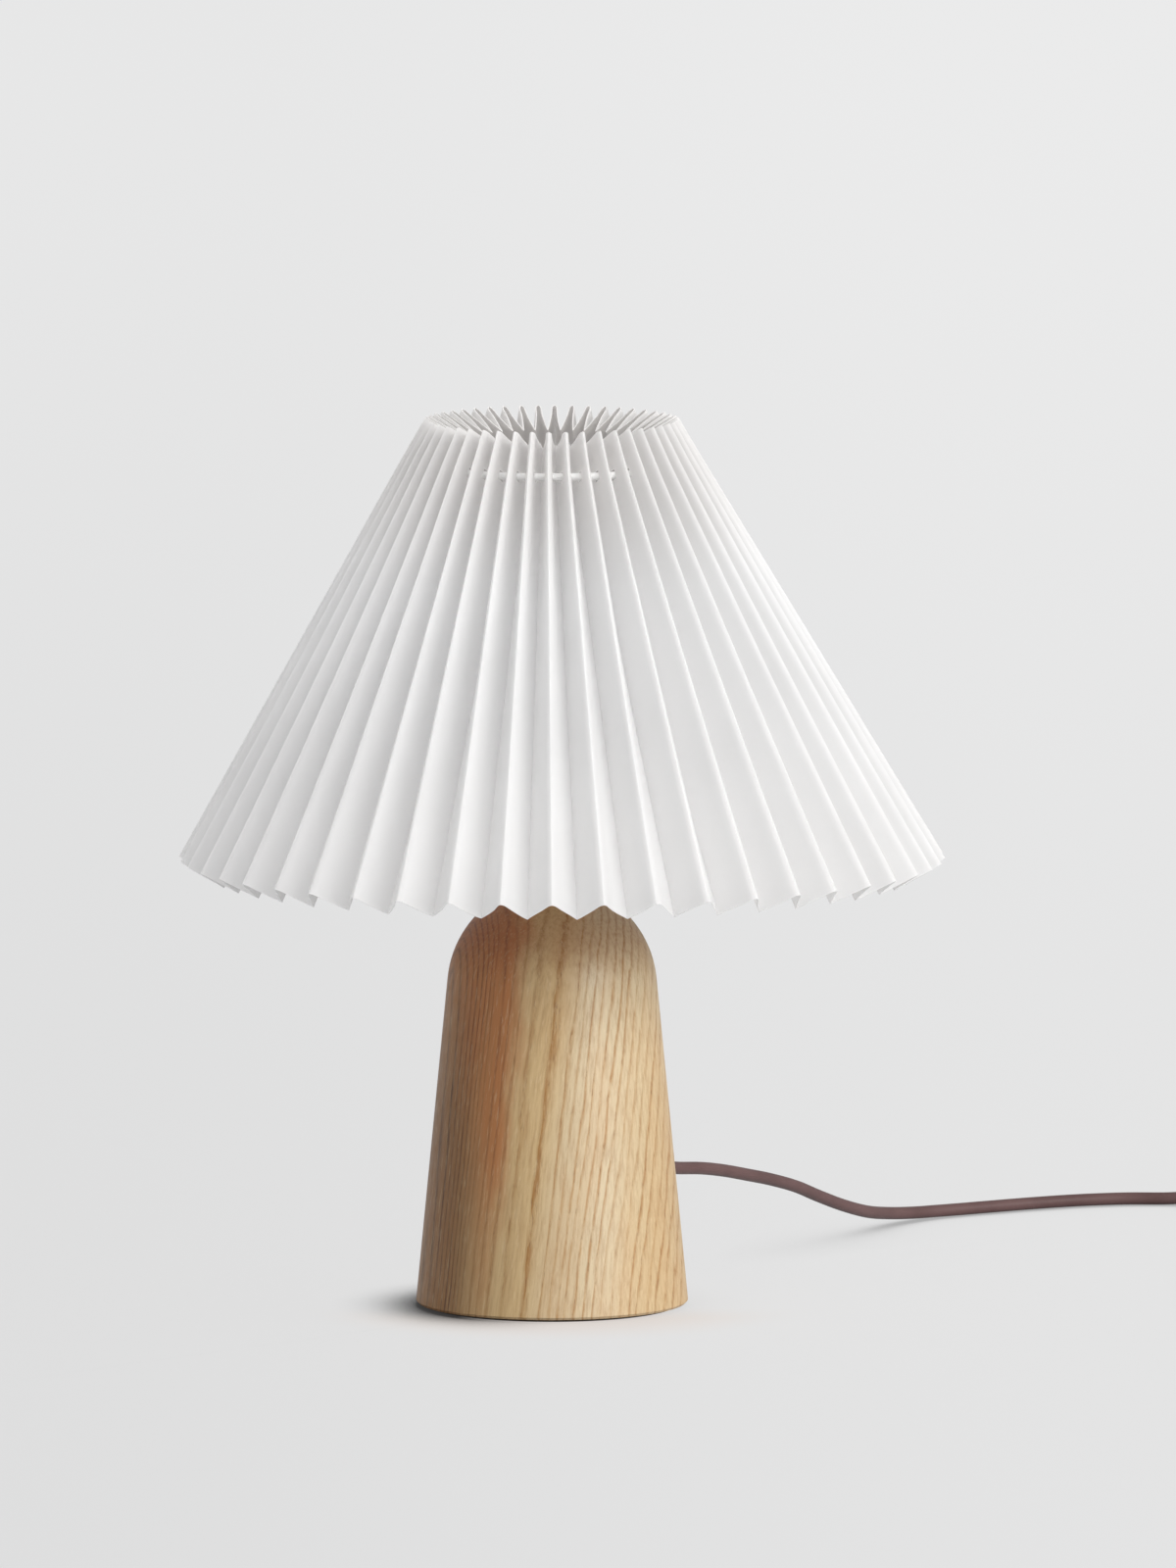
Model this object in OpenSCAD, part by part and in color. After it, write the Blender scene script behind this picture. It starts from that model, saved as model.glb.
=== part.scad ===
// Table lamp with a pleated cone shade on a turned wooden base.
// The origin is on the lamp's axis at the table, +Z is up, and all lengths are in millimetres.

/* [Lamp] */
// Height from the table to the top edge of the shade
lamp_h = 350; // [320:1:380]

/* [Base] */
// Height of the base, from the table to the flat that the lampholder stands on
base_h = 164; // [150:1:176]
// Diameter of the foot
foot_d = 107; // [96:1:120]
// Diameter where the straight taper turns into the domed shoulder
shoulder_d = 82; // [70:1:92]
// Height of the dome above the straight taper
dome_rise = 34.5; // [30:0.5:36]
// Chamfer round the foot
foot_chamfer = 1; // [0.5:0.25:2]
// Diameter of the hollow under the base
hollow_d = 32; // [28:1:40]
// Height of the hollow's ceiling above the table
hollow_h = 92; // [80:1:110]
// Thickness of the felt pad
pad_t = 2.2; // [1.5:0.1:4]
// How far the pad stands out of its recess
pad_proud = 1.2; // [0.6:0.1:1.4]
// Width of wood left outside the pad
pad_margin = 4; // [2:0.5:8]

/* [Threaded tube] */
// Outside diameter of the threaded tube
tube_d = 9.9; // [8:0.1:12]
// Wall of the threaded tube
tube_wall = 1.2; // [0.8:0.1:1.6]
// Length of the tube below the hollow's ceiling
tube_below = 9; // [8:1:14]
// Length of the tube above the top of the base
tube_above = 7; // [6.5:0.5:7.5]
// Distance across the flats of the tube's nuts
nut_af = 17; // [14:1:20]
// Height of the nut under the base
nut_h = 5; // [4:0.5:6]
// Diameter of the washer under the base
washer_d = 28; // [22:1:30]
// Thickness of the washer
washer_t = 2; // [1:0.5:3]

/* [Lampholder] */
// Diameter of the lampholder
holder_d = 39; // [38:0.5:41]
// Height of the lampholder's lower cap
cap_h = 22; // [20:1:26]
// Wall of the lower cap
cap_wall = 1.8; // [1.4:0.1:2.2]
// Height of the ledge that carries the terminal block
ledge_h = 10; // [9:0.5:12]
// Height of the sleeve above the cap
sleeve_h = 38; // [34:1:44]
// Wall of the sleeve
sleeve_wall = 2.3; // [1.8:0.1:2.4]
// Height of the sleeve's seat for the shade, above the cap
seat_h = 10; // [8:0.5:12]
// Diameter of the seat
seat_d = 43; // [42:0.5:46]
// Height of the ceramic terminal block
block_h = 16; // [14:0.5:17]
// Inside diameter of the brass screw shell
shell_bore = 27.2; // [27:0.1:27.6]
// Thickness of the brass sheet
brass_t = 0.6; // [0.4:0.1:0.8]
// Height of the screw shell
shell_h = 26; // [22:1:28]
// Height of the collar nut that clamps the shade
collar_h = 10; // [8:1:13]
// Diameter of the collar nut's flange
collar_d = 54; // [50:1:58]

/* [Bulb] */
// Largest diameter of the bulb
bulb_d = 60; // [50:1:62]
// Length of the bulb from its contact to its crown
bulb_l = 110; // [104:1:116]
// Diameter of the bulb's screw cap
bulb_cap_d = 26.2; // [25.8:0.1:26.5]
// Height of the bulb's screw cap
bulb_cap_h = 19; // [17:0.5:21]

/* [Shade] */
// Diameter over the outer folds at the lower edge
hem_d = 300; // [280:2:320]
// Diameter over the outer folds at the upper edge
mouth_d = 99; // [92:1:108]
// Height between the outer folds' lower and upper ends
shade_rise = 173; // [160:1:185]
// Number of pleats
pleats = 48; // [44:2:52]
// Width of one side of a pleat, from outer fold to inner fold
pleat_w = 17; // [15.5:0.5:18]
// Thickness of the pleated sheet
sheet_t = 0.4; // [0.3:0.05:0.5]
// Angle that the first pleat is turned from the front
pleat_turn = 2.46; // [0:0.01:7]

/* [Shade carrier] */
// Diameter of the wire that the pleats are threaded on
wire_d = 3; // [2:0.25:3.5]
// Distance of the wire below the shade's upper edge, along the folds
wire_drop = 15.5; // [13:0.5:22]
// Side of the hole that each pleat has for the wire
wire_hole = 4; // [3.8:0.1:5]
// Thickness of the flat ring that sits on the lampholder
fitter_t = 1.5; // [1:0.25:2]
// Outside diameter of the flat ring
fitter_d = 60; // [58:1:64]
// Number of arms
arms = 3; // [2:1:4]
// Thickness of an arm
arm_t = 1.6; // [1:0.1:1.8]
// Width of an arm
arm_w = 5; // [4:0.5:6]

/* [Cord] */
// Diameter of the cord
cord_d = 5; // [4.5:0.25:5.5]
// Direction in which the cord leaves the base, anticlockwise from +X
exit_turn = 58; // [50:1:66]
// Height at which the cord leaves the base
exit_h = 45; // [42:0.5:50]
// Length of the tapered sleeve outside the base
relief_l = 24; // [18:1:24]

/* [Switch] */
// Length of the switch
switch_l = 60; // [56:1:60]
// Width of the switch
switch_w = 26; // [24:1:30]
// Height of the closed switch without its rocker
switch_h = 20; // [19:0.5:23]
// Height of the joint between the two halves, where the cord enters
split_h = 8; // [8:0.5:9]
// Wall of the halves
switch_wall = 2; // [1.5:0.1:2.5]
// Length of the rocker
rocker_l = 21; // [18:0.5:22]
// Width of the rocker
rocker_w = 11.6; // [10:0.2:12]
// Angle that the rocker leans to each side
rocker_lean = 7; // [5:0.5:8]

/* [Plug] */
// Width of the plug
plug_w = 35.3; // [34:0.1:36]
// Thickness of the plug
plug_t = 13.7; // [13:0.1:14]
// Length of the plug's body
plug_l = 38; // [36:1:38]
// Distance between the pins' axes
pin_pitch = 18.6; // [18:0.1:19.2]
// Diameter of a pin
pin_d = 4; // [3.9:0.05:4.1]
// Length of a pin
pin_l = 19; // [18.5:0.1:19.5]
// Length of the insulating sleeve on a pin
pin_sleeve_l = 10; // [9:0.5:11]

/* [Coil] */
// Radius at the middle of the coil's turns
coil_r = 29; // [28:0.5:31]
// Number of turns in each of the two layers
coil_turns = 3.5; // [2.5:0.5:3.5]

/* [Hidden] */
$fn = 96;

// Clearances
running_gap = 0.05;
thread_gap = 0.05;
seat_gap = 0.1;
loose_gap = 0.3;
cut = 1;

// Base: a straight taper that runs tangentially into a sphere centred on the axis
shoulder_z = base_h - dome_rise;
taper_a = atan2((foot_d - shoulder_d) / 2, shoulder_z - pad_proud);
dome_r = shoulder_d / 2 / cos(taper_a);
dome_z = shoulder_z - dome_r * sin(taper_a);
bore_d = tube_d + 2 * loose_gap;
function base_r(z) = shoulder_d / 2 + (shoulder_z - z) * tan(taper_a);

// Cord exit: a bush in a radial hole, seated in a spot face
bush_bore = cord_d + 2 * loose_gap;
bush_wall = 1.7;
bush_d = bush_bore + 2 * bush_wall;
bush_flange_d = bush_d + 4;
bush_flange_t = 2;
relief_step = 0.5;
relief_tip_wall = 0.8;
spot_d = bush_flange_d + 2 * loose_gap;
spot_depth = 1.3;
spot_r = base_r(exit_h) - spot_depth;
relief_r = spot_r + bush_flange_t + relief_l;
exit_dir = [cos(exit_turn), sin(exit_turn), 0];
cord_bend = 16;

// Cord grip, clamped on the cord under the tube
grip_size = [17, 11, 9];
grip_z = 66;
grip_split = 0.6;
grip_screw_x = 5.6;
grip_screw_d = 2.9;

// Lampholder, measured up from the top of the base
cap_top = base_h + cap_h;
cap_floor = 2.5;
cap_foot_d = 26;
cap_flare = 8;
ledge_d = 28;
ledge_z = base_h + ledge_h;
block_d = holder_d - 2 * sleeve_wall - 2 * loose_gap;
block_top = ledge_z + block_h;
post_size = [6, 5, 7];
post_y = 10.6;
post_z = ledge_z + 3;
post_screw_d = 3;
wire_r = 0.95;
bend_r = wire_r + 0.1;
wire_x = 1.3;
cord_top = base_h + tube_above + 0.2;
sleeve_top = cap_top + sleeve_h;
seat_z = cap_top + seat_h;
contact_w = 6;
contact_rise = 2;
locknut_h = 4;

// Shade carrier on the seat
fitter_z = seat_z + seat_gap;
collar_z = fitter_z + fitter_t + seat_gap;
collar_wall = 2.6;
collar_flange_t = 1.8;
grips = 20;
grip_cut_d = 2.4;

// Bulb, measured up from its contact
tip_z = block_top + brass_t + contact_rise + running_gap;
tip_h = 1.2;
tip_d = 9.2;
insulator_h = 3.6;
cap_z = tip_z + tip_h + insulator_h;
neck_z = cap_z + bulb_cap_h;
globe_z = tip_z + bulb_l - bulb_d / 2;
joint_drop = 0.6;
joint_z = globe_z - joint_drop * bulb_d / 2;
joint_r = bulb_d / 2 * sqrt(1 - joint_drop * joint_drop);
neck_r = bulb_cap_d / 2 + 0.9;
waist_z = neck_z + 8;
waist_r = neck_r + 1.4;

// Shade: both edges are cut square to the folds, so an inner fold lies inwards and downwards
fold_a = atan2((hem_d - mouth_d) / 2, shade_rise);
fold_l = norm([(hem_d - mouth_d) / 2, shade_rise]);
pitch_a = 360 / pleats;
sheet_in = [-cos(fold_a), -sin(fold_a)];
fold_down = [sin(fold_a), -cos(fold_a)];
function outer_fold(v) = [mouth_d / 2, lamp_h] + v * fold_down;
function half_pitch(v) = PI * (outer_fold(v)[0] - pleat_w / 2 * cos(fold_a)) / pleats;
function pleat_depth(v) = sqrt(pow(pleat_w, 2) - pow(half_pitch(v), 2));
function fold_half(v) = atan2(half_pitch(v), pleat_depth(v));
function sheet_shift(v) = sheet_t / sin(fold_half(v));
// A point of the sheet's section: u from outer to inner fold, v down the fold, skin 0 or 1
function sheet_rz(u, v, skin) =
    outer_fold(v) + (u * pleat_depth(v) + skin * sheet_shift(v)) * sheet_in;
function sheet_point(turn, u, v, skin) =
    let (p = sheet_rz(u, v, skin), a = pleat_turn - 90 + turn) [p[0] * cos(a), p[0] * sin(a), p[1]];
// Between the folds, the u of the second skin that lies square through the sheet from u on the first
function square_u(u, v, skin) =
    u == 0 || u == 1 ? u : u - skin * sheet_shift(v) * pow(cos(fold_half(v)), 2) / pleat_depth(v);

// Wire ring, at mid depth of the pleats, and the hole round it in each facet
wire_u = 0.5;
wire_rz = sheet_rz(wire_u, wire_drop, 0);
hole_half = wire_hole / 2;
u_lines = [0, wire_u - hole_half / pleat_w, wire_u + hole_half / pleat_w, 1];
v_lines = [0, wire_drop - hole_half, wire_drop + hole_half, fold_l];
columns = 6 * pleats;
rows = 4;

// Arms rise from the flat ring past the bulb into the outer folds
fitter_mid = fitter_z + fitter_t / 2;
arm_out = bulb_d / 2 + 8.5;
arm_path = [
    [fitter_d / 2 - 1, fitter_mid], [arm_out - 1.5, fitter_mid + 3], [arm_out, globe_z + 8],
    wire_rz - [1.6, 5.5], wire_rz - [0.9, 1.6]
];
arm_ends = [1, 1, 1, 0.7, 0.45];
first_arm = pleat_turn - 90 + pitch_a / 2 + pitch_a * round(pleats / 2 - 0.5);

// Cord route outside the base, from the tip of the bush to the switch
switch_at = [310, 282, 0];
cord_grip_l = 12;
side_x = 362;
tail_end = 145;
lead_points = [
    relief_r * exit_dir + [0, 0, exit_h], (relief_r + 9) * exit_dir + [0, 0, exit_h - 0.2],
    [50, 80, 43], [59, 94, 41], [68, 109, 38], [78, 125, 34], [87, 141, 30], [97, 157, 25],
    [106, 173, 19], [116, 189, 13], [126, 206, 8], [135, 223, 5], [145, 236, 3.4],
    [154, 245, 2.8], [164, 252, 2.6], [174, 258, 2.6], [193, 269, 2.6], [212, 278, 2.6],
    [231, 283, 2.6], [250, 283, 2.7], [261, 282, 4.2], [271, 282, 6.8], [279, switch_at[1], split_h],
    [switch_at[0] - switch_l / 2 + cord_grip_l, switch_at[1], split_h]
];
link_points = [
    [switch_at[0] + switch_l / 2 - cord_grip_l, switch_at[1], split_h],
    [341, switch_at[1], split_h], [349, 280, 7.8],
    [356, 275, 6.8], [361, 268, 5.6], [side_x, 260, 4.6], [side_x, 250, 3.9], [side_x, 240, 3.5],
    [side_x, 232, 3.5], [side_x, 227, 3.5]
];
tail_points = [
    [side_x, 217, 9], [side_x, 212, 9], [side_x, 203, 8.2], [side_x, 193, 6.4], [side_x, 182, 5],
    [side_x, 171, 4.9], [side_x, 161, 6], [side_x, 152, plug_t / 2], [side_x, tail_end, plug_t / 2]
];
lead_rings = 2;

// Coil: in on the floor, up a layer in the half turn where the spiral reverses, and out again
coil_step = cord_d + 0.5;
coil_z = 3.5;
layer_rise = cord_d + 0.5;
coil_reach = coil_turns * coil_step / 2;
coil_at = [side_x - coil_r - coil_reach, 222];
rings_per_turn = 24;
coil_end = 5;
function spiral_r(t) = coil_r - coil_reach + coil_step * abs(coil_turns - t);
function spiral_z(t) = coil_z + layer_rise * min(1, max(0, (t - coil_turns) * 2 + 0.5));
function spiral_point(t) = [
    coil_at[0] + spiral_r(t) * cos(360 * t), coil_at[1] - spiral_r(t) * sin(360 * t), spiral_z(t)
];
coil_points = concat(
    [spiral_point(0) + [0, coil_end, 0]],
    [for (i = [0 : 2 * coil_turns * rings_per_turn]) spiral_point(i / rings_per_turn)],
    [spiral_point(2 * coil_turns) - [0, coil_end, 0]]
);

// Tie round the coil's left side
tie_t = 0.8;
tie_w = 9;
tie_gap = 0.9;
tie_low = 0.1;

// Switch, with the cord along X
rocker_z = split_h + 6.5;
rocker_gap = 0.9;
rocker_side_gap = 0.4;
pin_r = 1;
lug_t = 2;
switch_end_r = 9;
post_l = 6;
switch_end_l = 11;
switch_screw_at = [22, 7.5];
switch_screw_d = 3;

// Plug, with its pins along -Y
relief_tail = 18;
plug_at = [side_x, tail_end - relief_tail, plug_t / 2];
pin_tip = 1;
pin_root = 9;
sleeve_step = 0.2;
sleeve_wall_t = 0.3;
shank_d = pin_d - 2 * sleeve_step - 2 * sleeve_wall_t;

// Least gap between parts of the coil that are at least half a turn apart, and the cord's length
coil_gap = min([
    for (i = [0 : len(coil_points) - 1], k = [i + rings_per_turn / 2 : 1 : len(coil_points) - 1])
        norm(coil_points[i] - coil_points[k])
]) - cord_d;
cord_l = path_length(smooth(lead_points, lead_rings)) + path_length(smooth(link_points, lead_rings))
    + path_length(coil_points) + path_length(smooth(tail_points, lead_rings)) + switch_l - 2 * cord_grip_l;
echo(coil_gap = coil_gap, cord_length = cord_l);

function unit(v) = v / norm(v);
function hermite(a, b, c, d, t) =
    0.5 * (2 * b + (c - a) * t + (2 * a - 5 * b + 4 * c - d) * t * t
        + (3 * b - a - 3 * c + d) * t * t * t);
// A smooth line through the points of p, with n steps from each to the next
function smooth(p, n) = concat(
    [for (i = [0 : len(p) - 2], k = [0 : n - 1])
        hermite(p[max(i - 1, 0)], p[i], p[i + 1], p[min(i + 2, len(p) - 1)], k / n)],
    [p[len(p) - 1]]
);
function tangent(p, i) = unit(p[min(i + 1, len(p) - 1)] - p[max(i - 1, 0)]);
function path_length(p) = len(p) < 2 ? 0 : sum([for (i = [1 : len(p) - 1]) norm(p[i] - p[i - 1])]);
function sum(v, i = 0) = i >= len(v) ? 0 : v[i] + sum(v, i + 1);

// Round tube swept along the points of a path that is nowhere upright
module tube(path, d, sides) {
    rings = len(path);
    points = [
        for (i = [0 : rings - 1])
            let (t = tangent(path, i), s = unit(cross(t, [0, 0, 1])), n = cross(s, t))
                for (k = [0 : sides - 1])
                    path[i] + d / 2 * (cos(360 * k / sides) * s + sin(360 * k / sides) * n)
    ];
    walls = [
        for (i = [0 : rings - 2], k = [0 : sides - 1])
            let (a = i * sides + k, b = i * sides + (k + 1) % sides)
                each [[a, b, b + sides], [a, b + sides, a + sides]]
    ];
    caps = [
        [for (k = [0 : sides - 1]) sides - 1 - k],
        [for (k = [0 : sides - 1]) (rings - 1) * sides + k]
    ];
    polyhedron(points, concat(walls, caps));
}

// Round bar from a to b
module rod(a, b, r) {
    d = b - a;
    translate(a) rotate([0, acos(d[2] / norm(d)), atan2(d[1], d[0])]) cylinder(h = norm(d), r = r);
}

// Hexagon nut with a plain bore
module hex_nut(af, h, bore) {
    difference() {
        cylinder(h = h, d = af / cos(30), $fn = 6);
        translate([0, 0, -cut]) cylinder(h = h + 2 * cut, d = bore);
    }
}

// Turn from the Z axis to the direction in which the cord leaves
module along_exit(r) {
    translate([0, 0, exit_h]) rotate([0, 0, exit_turn]) translate([r, 0, 0]) rotate([0, 90, 0]) children();
}

module base_body() {
    color("burlywood") difference() {
        union() {
            translate([0, 0, pad_proud])
                cylinder(h = foot_chamfer,
                    r1 = foot_d / 2 - foot_chamfer, r2 = base_r(pad_proud + foot_chamfer));
            translate([0, 0, pad_proud + foot_chamfer])
                cylinder(h = shoulder_z - pad_proud - foot_chamfer,
                    r1 = base_r(pad_proud + foot_chamfer), r2 = shoulder_d / 2);
            intersection() {
                translate([0, 0, dome_z]) sphere(r = dome_r);
                translate([0, 0, shoulder_z]) cylinder(h = base_h - shoulder_z, r = dome_r + cut);
            }
        }
        translate([0, 0, -cut]) cylinder(h = pad_t + cut, d = foot_d - 2 * pad_margin);
        translate([0, 0, -cut]) cylinder(h = hollow_h + cut, d = hollow_d);
        cylinder(h = base_h + cut, d = bore_d);
        along_exit(0) cylinder(h = foot_d, d = bush_d + 2 * running_gap);
        along_exit(spot_r) cylinder(h = foot_d, d = spot_d);
    }
}

module base_pad() {
    color("dimgray") cylinder(h = pad_t, d = foot_d - 2 * pad_margin - 2 * loose_gap);
}

module threaded_tube() {
    color("goldenrod") translate([0, 0, hollow_h - tube_below]) difference() {
        cylinder(h = tube_below + base_h - hollow_h + tube_above, d = tube_d);
        translate([0, 0, -cut]) cylinder(h = base_h + lamp_h, d = tube_d - 2 * tube_wall);
    }
}

module tube_nut() {
    color("silver") translate([0, 0, hollow_h - washer_t - nut_h])
        hex_nut(nut_af, nut_h, tube_d + 2 * thread_gap);
}

module tube_washer() {
    color("silver") translate([0, 0, hollow_h - washer_t]) difference() {
        cylinder(h = washer_t, d = washer_d);
        translate([0, 0, -cut]) cylinder(h = washer_t + 2 * cut, d = bore_d);
    }
}

module cord_bush() {
    inner_r = hollow_d / 2 - 1;
    color("rosybrown") difference() {
        union() {
            along_exit(inner_r) cylinder(h = spot_r - inner_r + cut, d = bush_d);
            along_exit(spot_r) cylinder(h = bush_flange_t, d = bush_flange_d);
            along_exit(spot_r + bush_flange_t) cylinder(h = relief_l,
                d1 = bush_d + 2 * relief_step, d2 = bush_bore + 2 * relief_tip_wall);
        }
        along_exit(0) cylinder(h = 2 * relief_r, d = bush_bore);
    }
}

module cord_grip() {
    color("whitesmoke") difference() {
        for (side = [-1, 1]) translate([0, side * (grip_size[1] + grip_split) / 4, grip_z + grip_size[2] / 2])
            cube([grip_size[0], (grip_size[1] - grip_split) / 2, grip_size[2]], center = true);
        translate([0, 0, grip_z - cut]) cylinder(h = grip_size[2] + 2 * cut, d = cord_d + 2 * seat_gap);
        for (x = [-grip_screw_x, grip_screw_x]) translate([x, 0, grip_z + grip_size[2] / 2])
            rotate([90, 0, 0])
                cylinder(h = 2 * grip_size[1], d = grip_screw_d + 2 * thread_gap, center = true);
    }
}

module grip_screws() {
    head_h = 1.6;
    color("silver") for (x = [-grip_screw_x, grip_screw_x])
        translate([x, -grip_size[1] / 2, grip_z + grip_size[2] / 2]) rotate([-90, 0, 0]) {
            cylinder(h = grip_size[1] - 1, d = grip_screw_d);
            translate([0, 0, -head_h]) cylinder(h = head_h, d = 2 * grip_screw_d - 0.6);
        }
}

module cord_inner() {
    color("rosybrown") {
        along_exit(cord_bend) cylinder(h = relief_r - cord_bend, d = cord_d);
        rotate([0, 0, exit_turn]) translate([cord_bend, 0, exit_h + cord_bend]) rotate([90, 0, 0])
            rotate([0, 0, 180]) rotate_extrude(angle = 90) translate([cord_bend, 0]) circle(d = cord_d);
        translate([0, 0, exit_h + cord_bend]) cylinder(h = cord_top - exit_h - cord_bend, d = cord_d);
    }
}

// One conductor, from the end of the cord's sheath to its terminal post
module conductor(side) {
    level = (base_h + tube_above + ledge_z) / 2;
    start = [wire_x * side, 0, cord_top];
    knee = [wire_x * side, 0, level];
    foot = [0, side * post_y, level];
    top = [0, side * post_y, post_z];
    rod(start, knee, wire_r);
    translate(knee) sphere(r = bend_r);
    rod(knee, foot, wire_r);
    translate(foot) sphere(r = bend_r);
    rod(foot, top, wire_r);
}

module live_wire() {
    color("saddlebrown") conductor(1);
}

module neutral_wire() {
    color("steelblue") conductor(-1);
}

module holder_cap() {
    color("whitesmoke") translate([0, 0, base_h]) difference() {
        union() {
            cylinder(h = cap_flare, d1 = cap_foot_d, d2 = holder_d);
            translate([0, 0, cap_flare]) cylinder(h = cap_h - cap_flare, d = holder_d);
        }
        translate([0, 0, -cut]) cylinder(h = cap_h, d = tube_d + 2 * thread_gap);
        translate([0, 0, cap_floor])
            cylinder(h = ledge_h - cap_floor + cut, d1 = cap_foot_d - 5, d2 = ledge_d);
        translate([0, 0, ledge_h]) cylinder(h = cap_h, d = holder_d - 2 * cap_wall);
    }
}

module cap_locknut() {
    color("silver") translate([0, 0, base_h + cap_floor]) hex_nut(nut_af, locknut_h, tube_d + 2 * thread_gap);
}

module holder_sleeve() {
    color("whitesmoke") translate([0, 0, cap_top]) difference() {
        union() {
            cylinder(h = sleeve_h - 1, d = holder_d);
            translate([0, 0, sleeve_h - 1]) cylinder(h = 1, d1 = holder_d, d2 = holder_d - 1.4);
            translate([0, 0, seat_h - 2.5]) cylinder(h = 2.5, d1 = holder_d + 1, d2 = seat_d);
        }
        translate([0, 0, -cut]) cylinder(h = sleeve_h + 2 * cut, d = holder_d - 2 * sleeve_wall);
    }
}

module terminal_block() {
    recess_r = 4.5;
    color("ivory") difference() {
        translate([0, 0, ledge_z]) cylinder(h = block_h, d = block_d);
        for (side = [-1, 1]) {
            translate([0, side * (post_y + block_d / 2), post_z + post_size[2] / 2])
                cube([post_size[0] + 2 * seat_gap, block_d + post_size[1] + 2 * seat_gap,
                    post_size[2] + 2 * seat_gap], center = true);
            translate([0, side * post_y, ledge_z - cut])
                cylinder(h = post_z - ledge_z + 2 * cut, r = wire_r + loose_gap);
        }
        translate([0, 0, ledge_z - cut]) cylinder(h = block_h / 2, r = recess_r);
    }
}

module terminal_posts() {
    color("gold") difference() {
        for (side = [-1, 1]) translate([0, side * post_y, post_z + post_size[2] / 2])
            cube(post_size, center = true);
        for (side = [-1, 1]) translate([0, side * post_y, post_z + post_size[2] / 2]) rotate([90, 0, 0])
            cylinder(h = 2 * post_size[1], d = post_screw_d + 2 * thread_gap, center = true);
    }
}

module terminal_screws() {
    head_h = 1.4;
    color("silver") for (side = [-1, 1])
        translate([0, side * (post_y + post_size[1] / 2), post_z + post_size[2] / 2])
        rotate([90 * side, 0, 0]) {
            cylinder(h = post_size[1], d = post_screw_d);
            translate([0, 0, -head_h]) cylinder(h = head_h, d = post_screw_d + 2.2);
        }
}

module screw_shell() {
    color("gold") translate([0, 0, block_top]) difference() {
        cylinder(h = shell_h, d = shell_bore + 2 * brass_t);
        translate([0, 0, brass_t]) cylinder(h = shell_h, d = shell_bore);
        translate([0, 0, -cut]) cylinder(h = shell_h, d = shell_bore / 2);
    }
}

module centre_contact() {
    reach = shell_bore / 4 - 1;
    color("gold") translate([0, contact_w / 2, block_top]) rotate([90, 0, 0]) linear_extrude(contact_w)
        polygon([
            [-reach, 0], [-reach + 2.4, 0], [reach - 3.4, contact_rise], [reach - 0.6, contact_rise],
            [reach - 0.6, contact_rise + brass_t], [reach - 3.8, contact_rise + brass_t],
            [-reach + 2, brass_t], [-reach, brass_t]
        ]);
}

module collar_nut() {
    color("whitesmoke") translate([0, 0, collar_z]) difference() {
        union() {
            cylinder(h = collar_flange_t, d = collar_d);
            cylinder(h = collar_h, d = holder_d + 2 * collar_wall);
        }
        translate([0, 0, -cut]) cylinder(h = collar_h + 2 * cut, d = holder_d + 2 * thread_gap);
        for (i = [0 : grips - 1]) rotate([0, 0, 360 * i / grips])
            translate([holder_d / 2 + collar_wall + 0.5, 0, collar_flange_t])
                cylinder(h = collar_h, d = grip_cut_d);
    }
}

module fitter_ring() {
    color("white") translate([0, 0, fitter_z]) difference() {
        cylinder(h = fitter_t, d = fitter_d);
        translate([0, 0, -cut]) cylinder(h = fitter_t + 2 * cut, d = holder_d + 2 * seat_gap);
    }
}

// Flat strip along the arm's path in the radial plane, narrowing to the wire
module arm_outline() {
    n = len(arm_path);
    side = [for (i = [0 : n - 1])
        let (t = unit(arm_path[min(i + 1, n - 1)] - arm_path[max(i - 1, 0)]))
            arm_w / 2 * arm_ends[i] * [t[1], -t[0]]];
    polygon(concat([for (i = [0 : n - 1]) arm_path[i] + side[i]],
        [for (i = [n - 1 : -1 : 0]) arm_path[i] - side[i]]));
}

module carrier_arms() {
    color("white") difference() {
        for (i = [0 : arms - 1]) rotate([0, 0, first_arm + pitch_a * round(pleats * i / arms)])
            rotate([90, 0, 0]) linear_extrude(arm_t, center = true) difference() {
                arm_outline();
                translate(wire_rz) circle(d = wire_d + 2 * running_gap);
            }
        translate([0, 0, fitter_z - lamp_h / 2]) cylinder(h = lamp_h, d = fitter_d);
    }
}

module carrier_ring() {
    color("white") rotate_extrude() translate(wire_rz) circle(d = wire_d, $fn = 32);
}

// Both skins of the pleated sheet as one net of columns round the shade and rows down it.
// Each facet has three columns and three rows, and its middle cell is left open for the wire.
module shade_pleats() {
    column_u = [u_lines[0], u_lines[1], u_lines[2], u_lines[3], u_lines[2], u_lines[1]];
    points = [
        for (skin = [0, 1], row = [0 : rows - 1], c = [0 : columns - 1])
            let (v = v_lines[row], u = square_u(column_u[c % 6], v, skin))
                sheet_point(pitch_a * (floor(c / 6) - 0.5 + (c % 6 < 4 ? u : 2 - u) / 2), u, v, skin)
    ];
    faces = [
        for (row = [0 : rows - 2], c = [0 : columns - 1])
            let (open = row == 1 && c % 3 == 1)
                each open ? hole_walls(row, c) : sheet_cell(row, c),
        for (c = [0 : columns - 1]) each edge_cell(c)
    ];
    color("ghostwhite") polyhedron(points, faces);
}
function net(skin, row, c) = (skin * rows + row) * columns + c % columns;
function sheet_cell(row, c) = [
    [net(0, row, c), net(0, row, c + 1), net(0, row + 1, c + 1)],
    [net(0, row, c), net(0, row + 1, c + 1), net(0, row + 1, c)],
    [net(1, row, c), net(1, row + 1, c + 1), net(1, row, c + 1)],
    [net(1, row, c), net(1, row + 1, c), net(1, row + 1, c + 1)]
];
function strip(a, b, c, d) = [[a, b, c], [a, c, d]];
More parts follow.
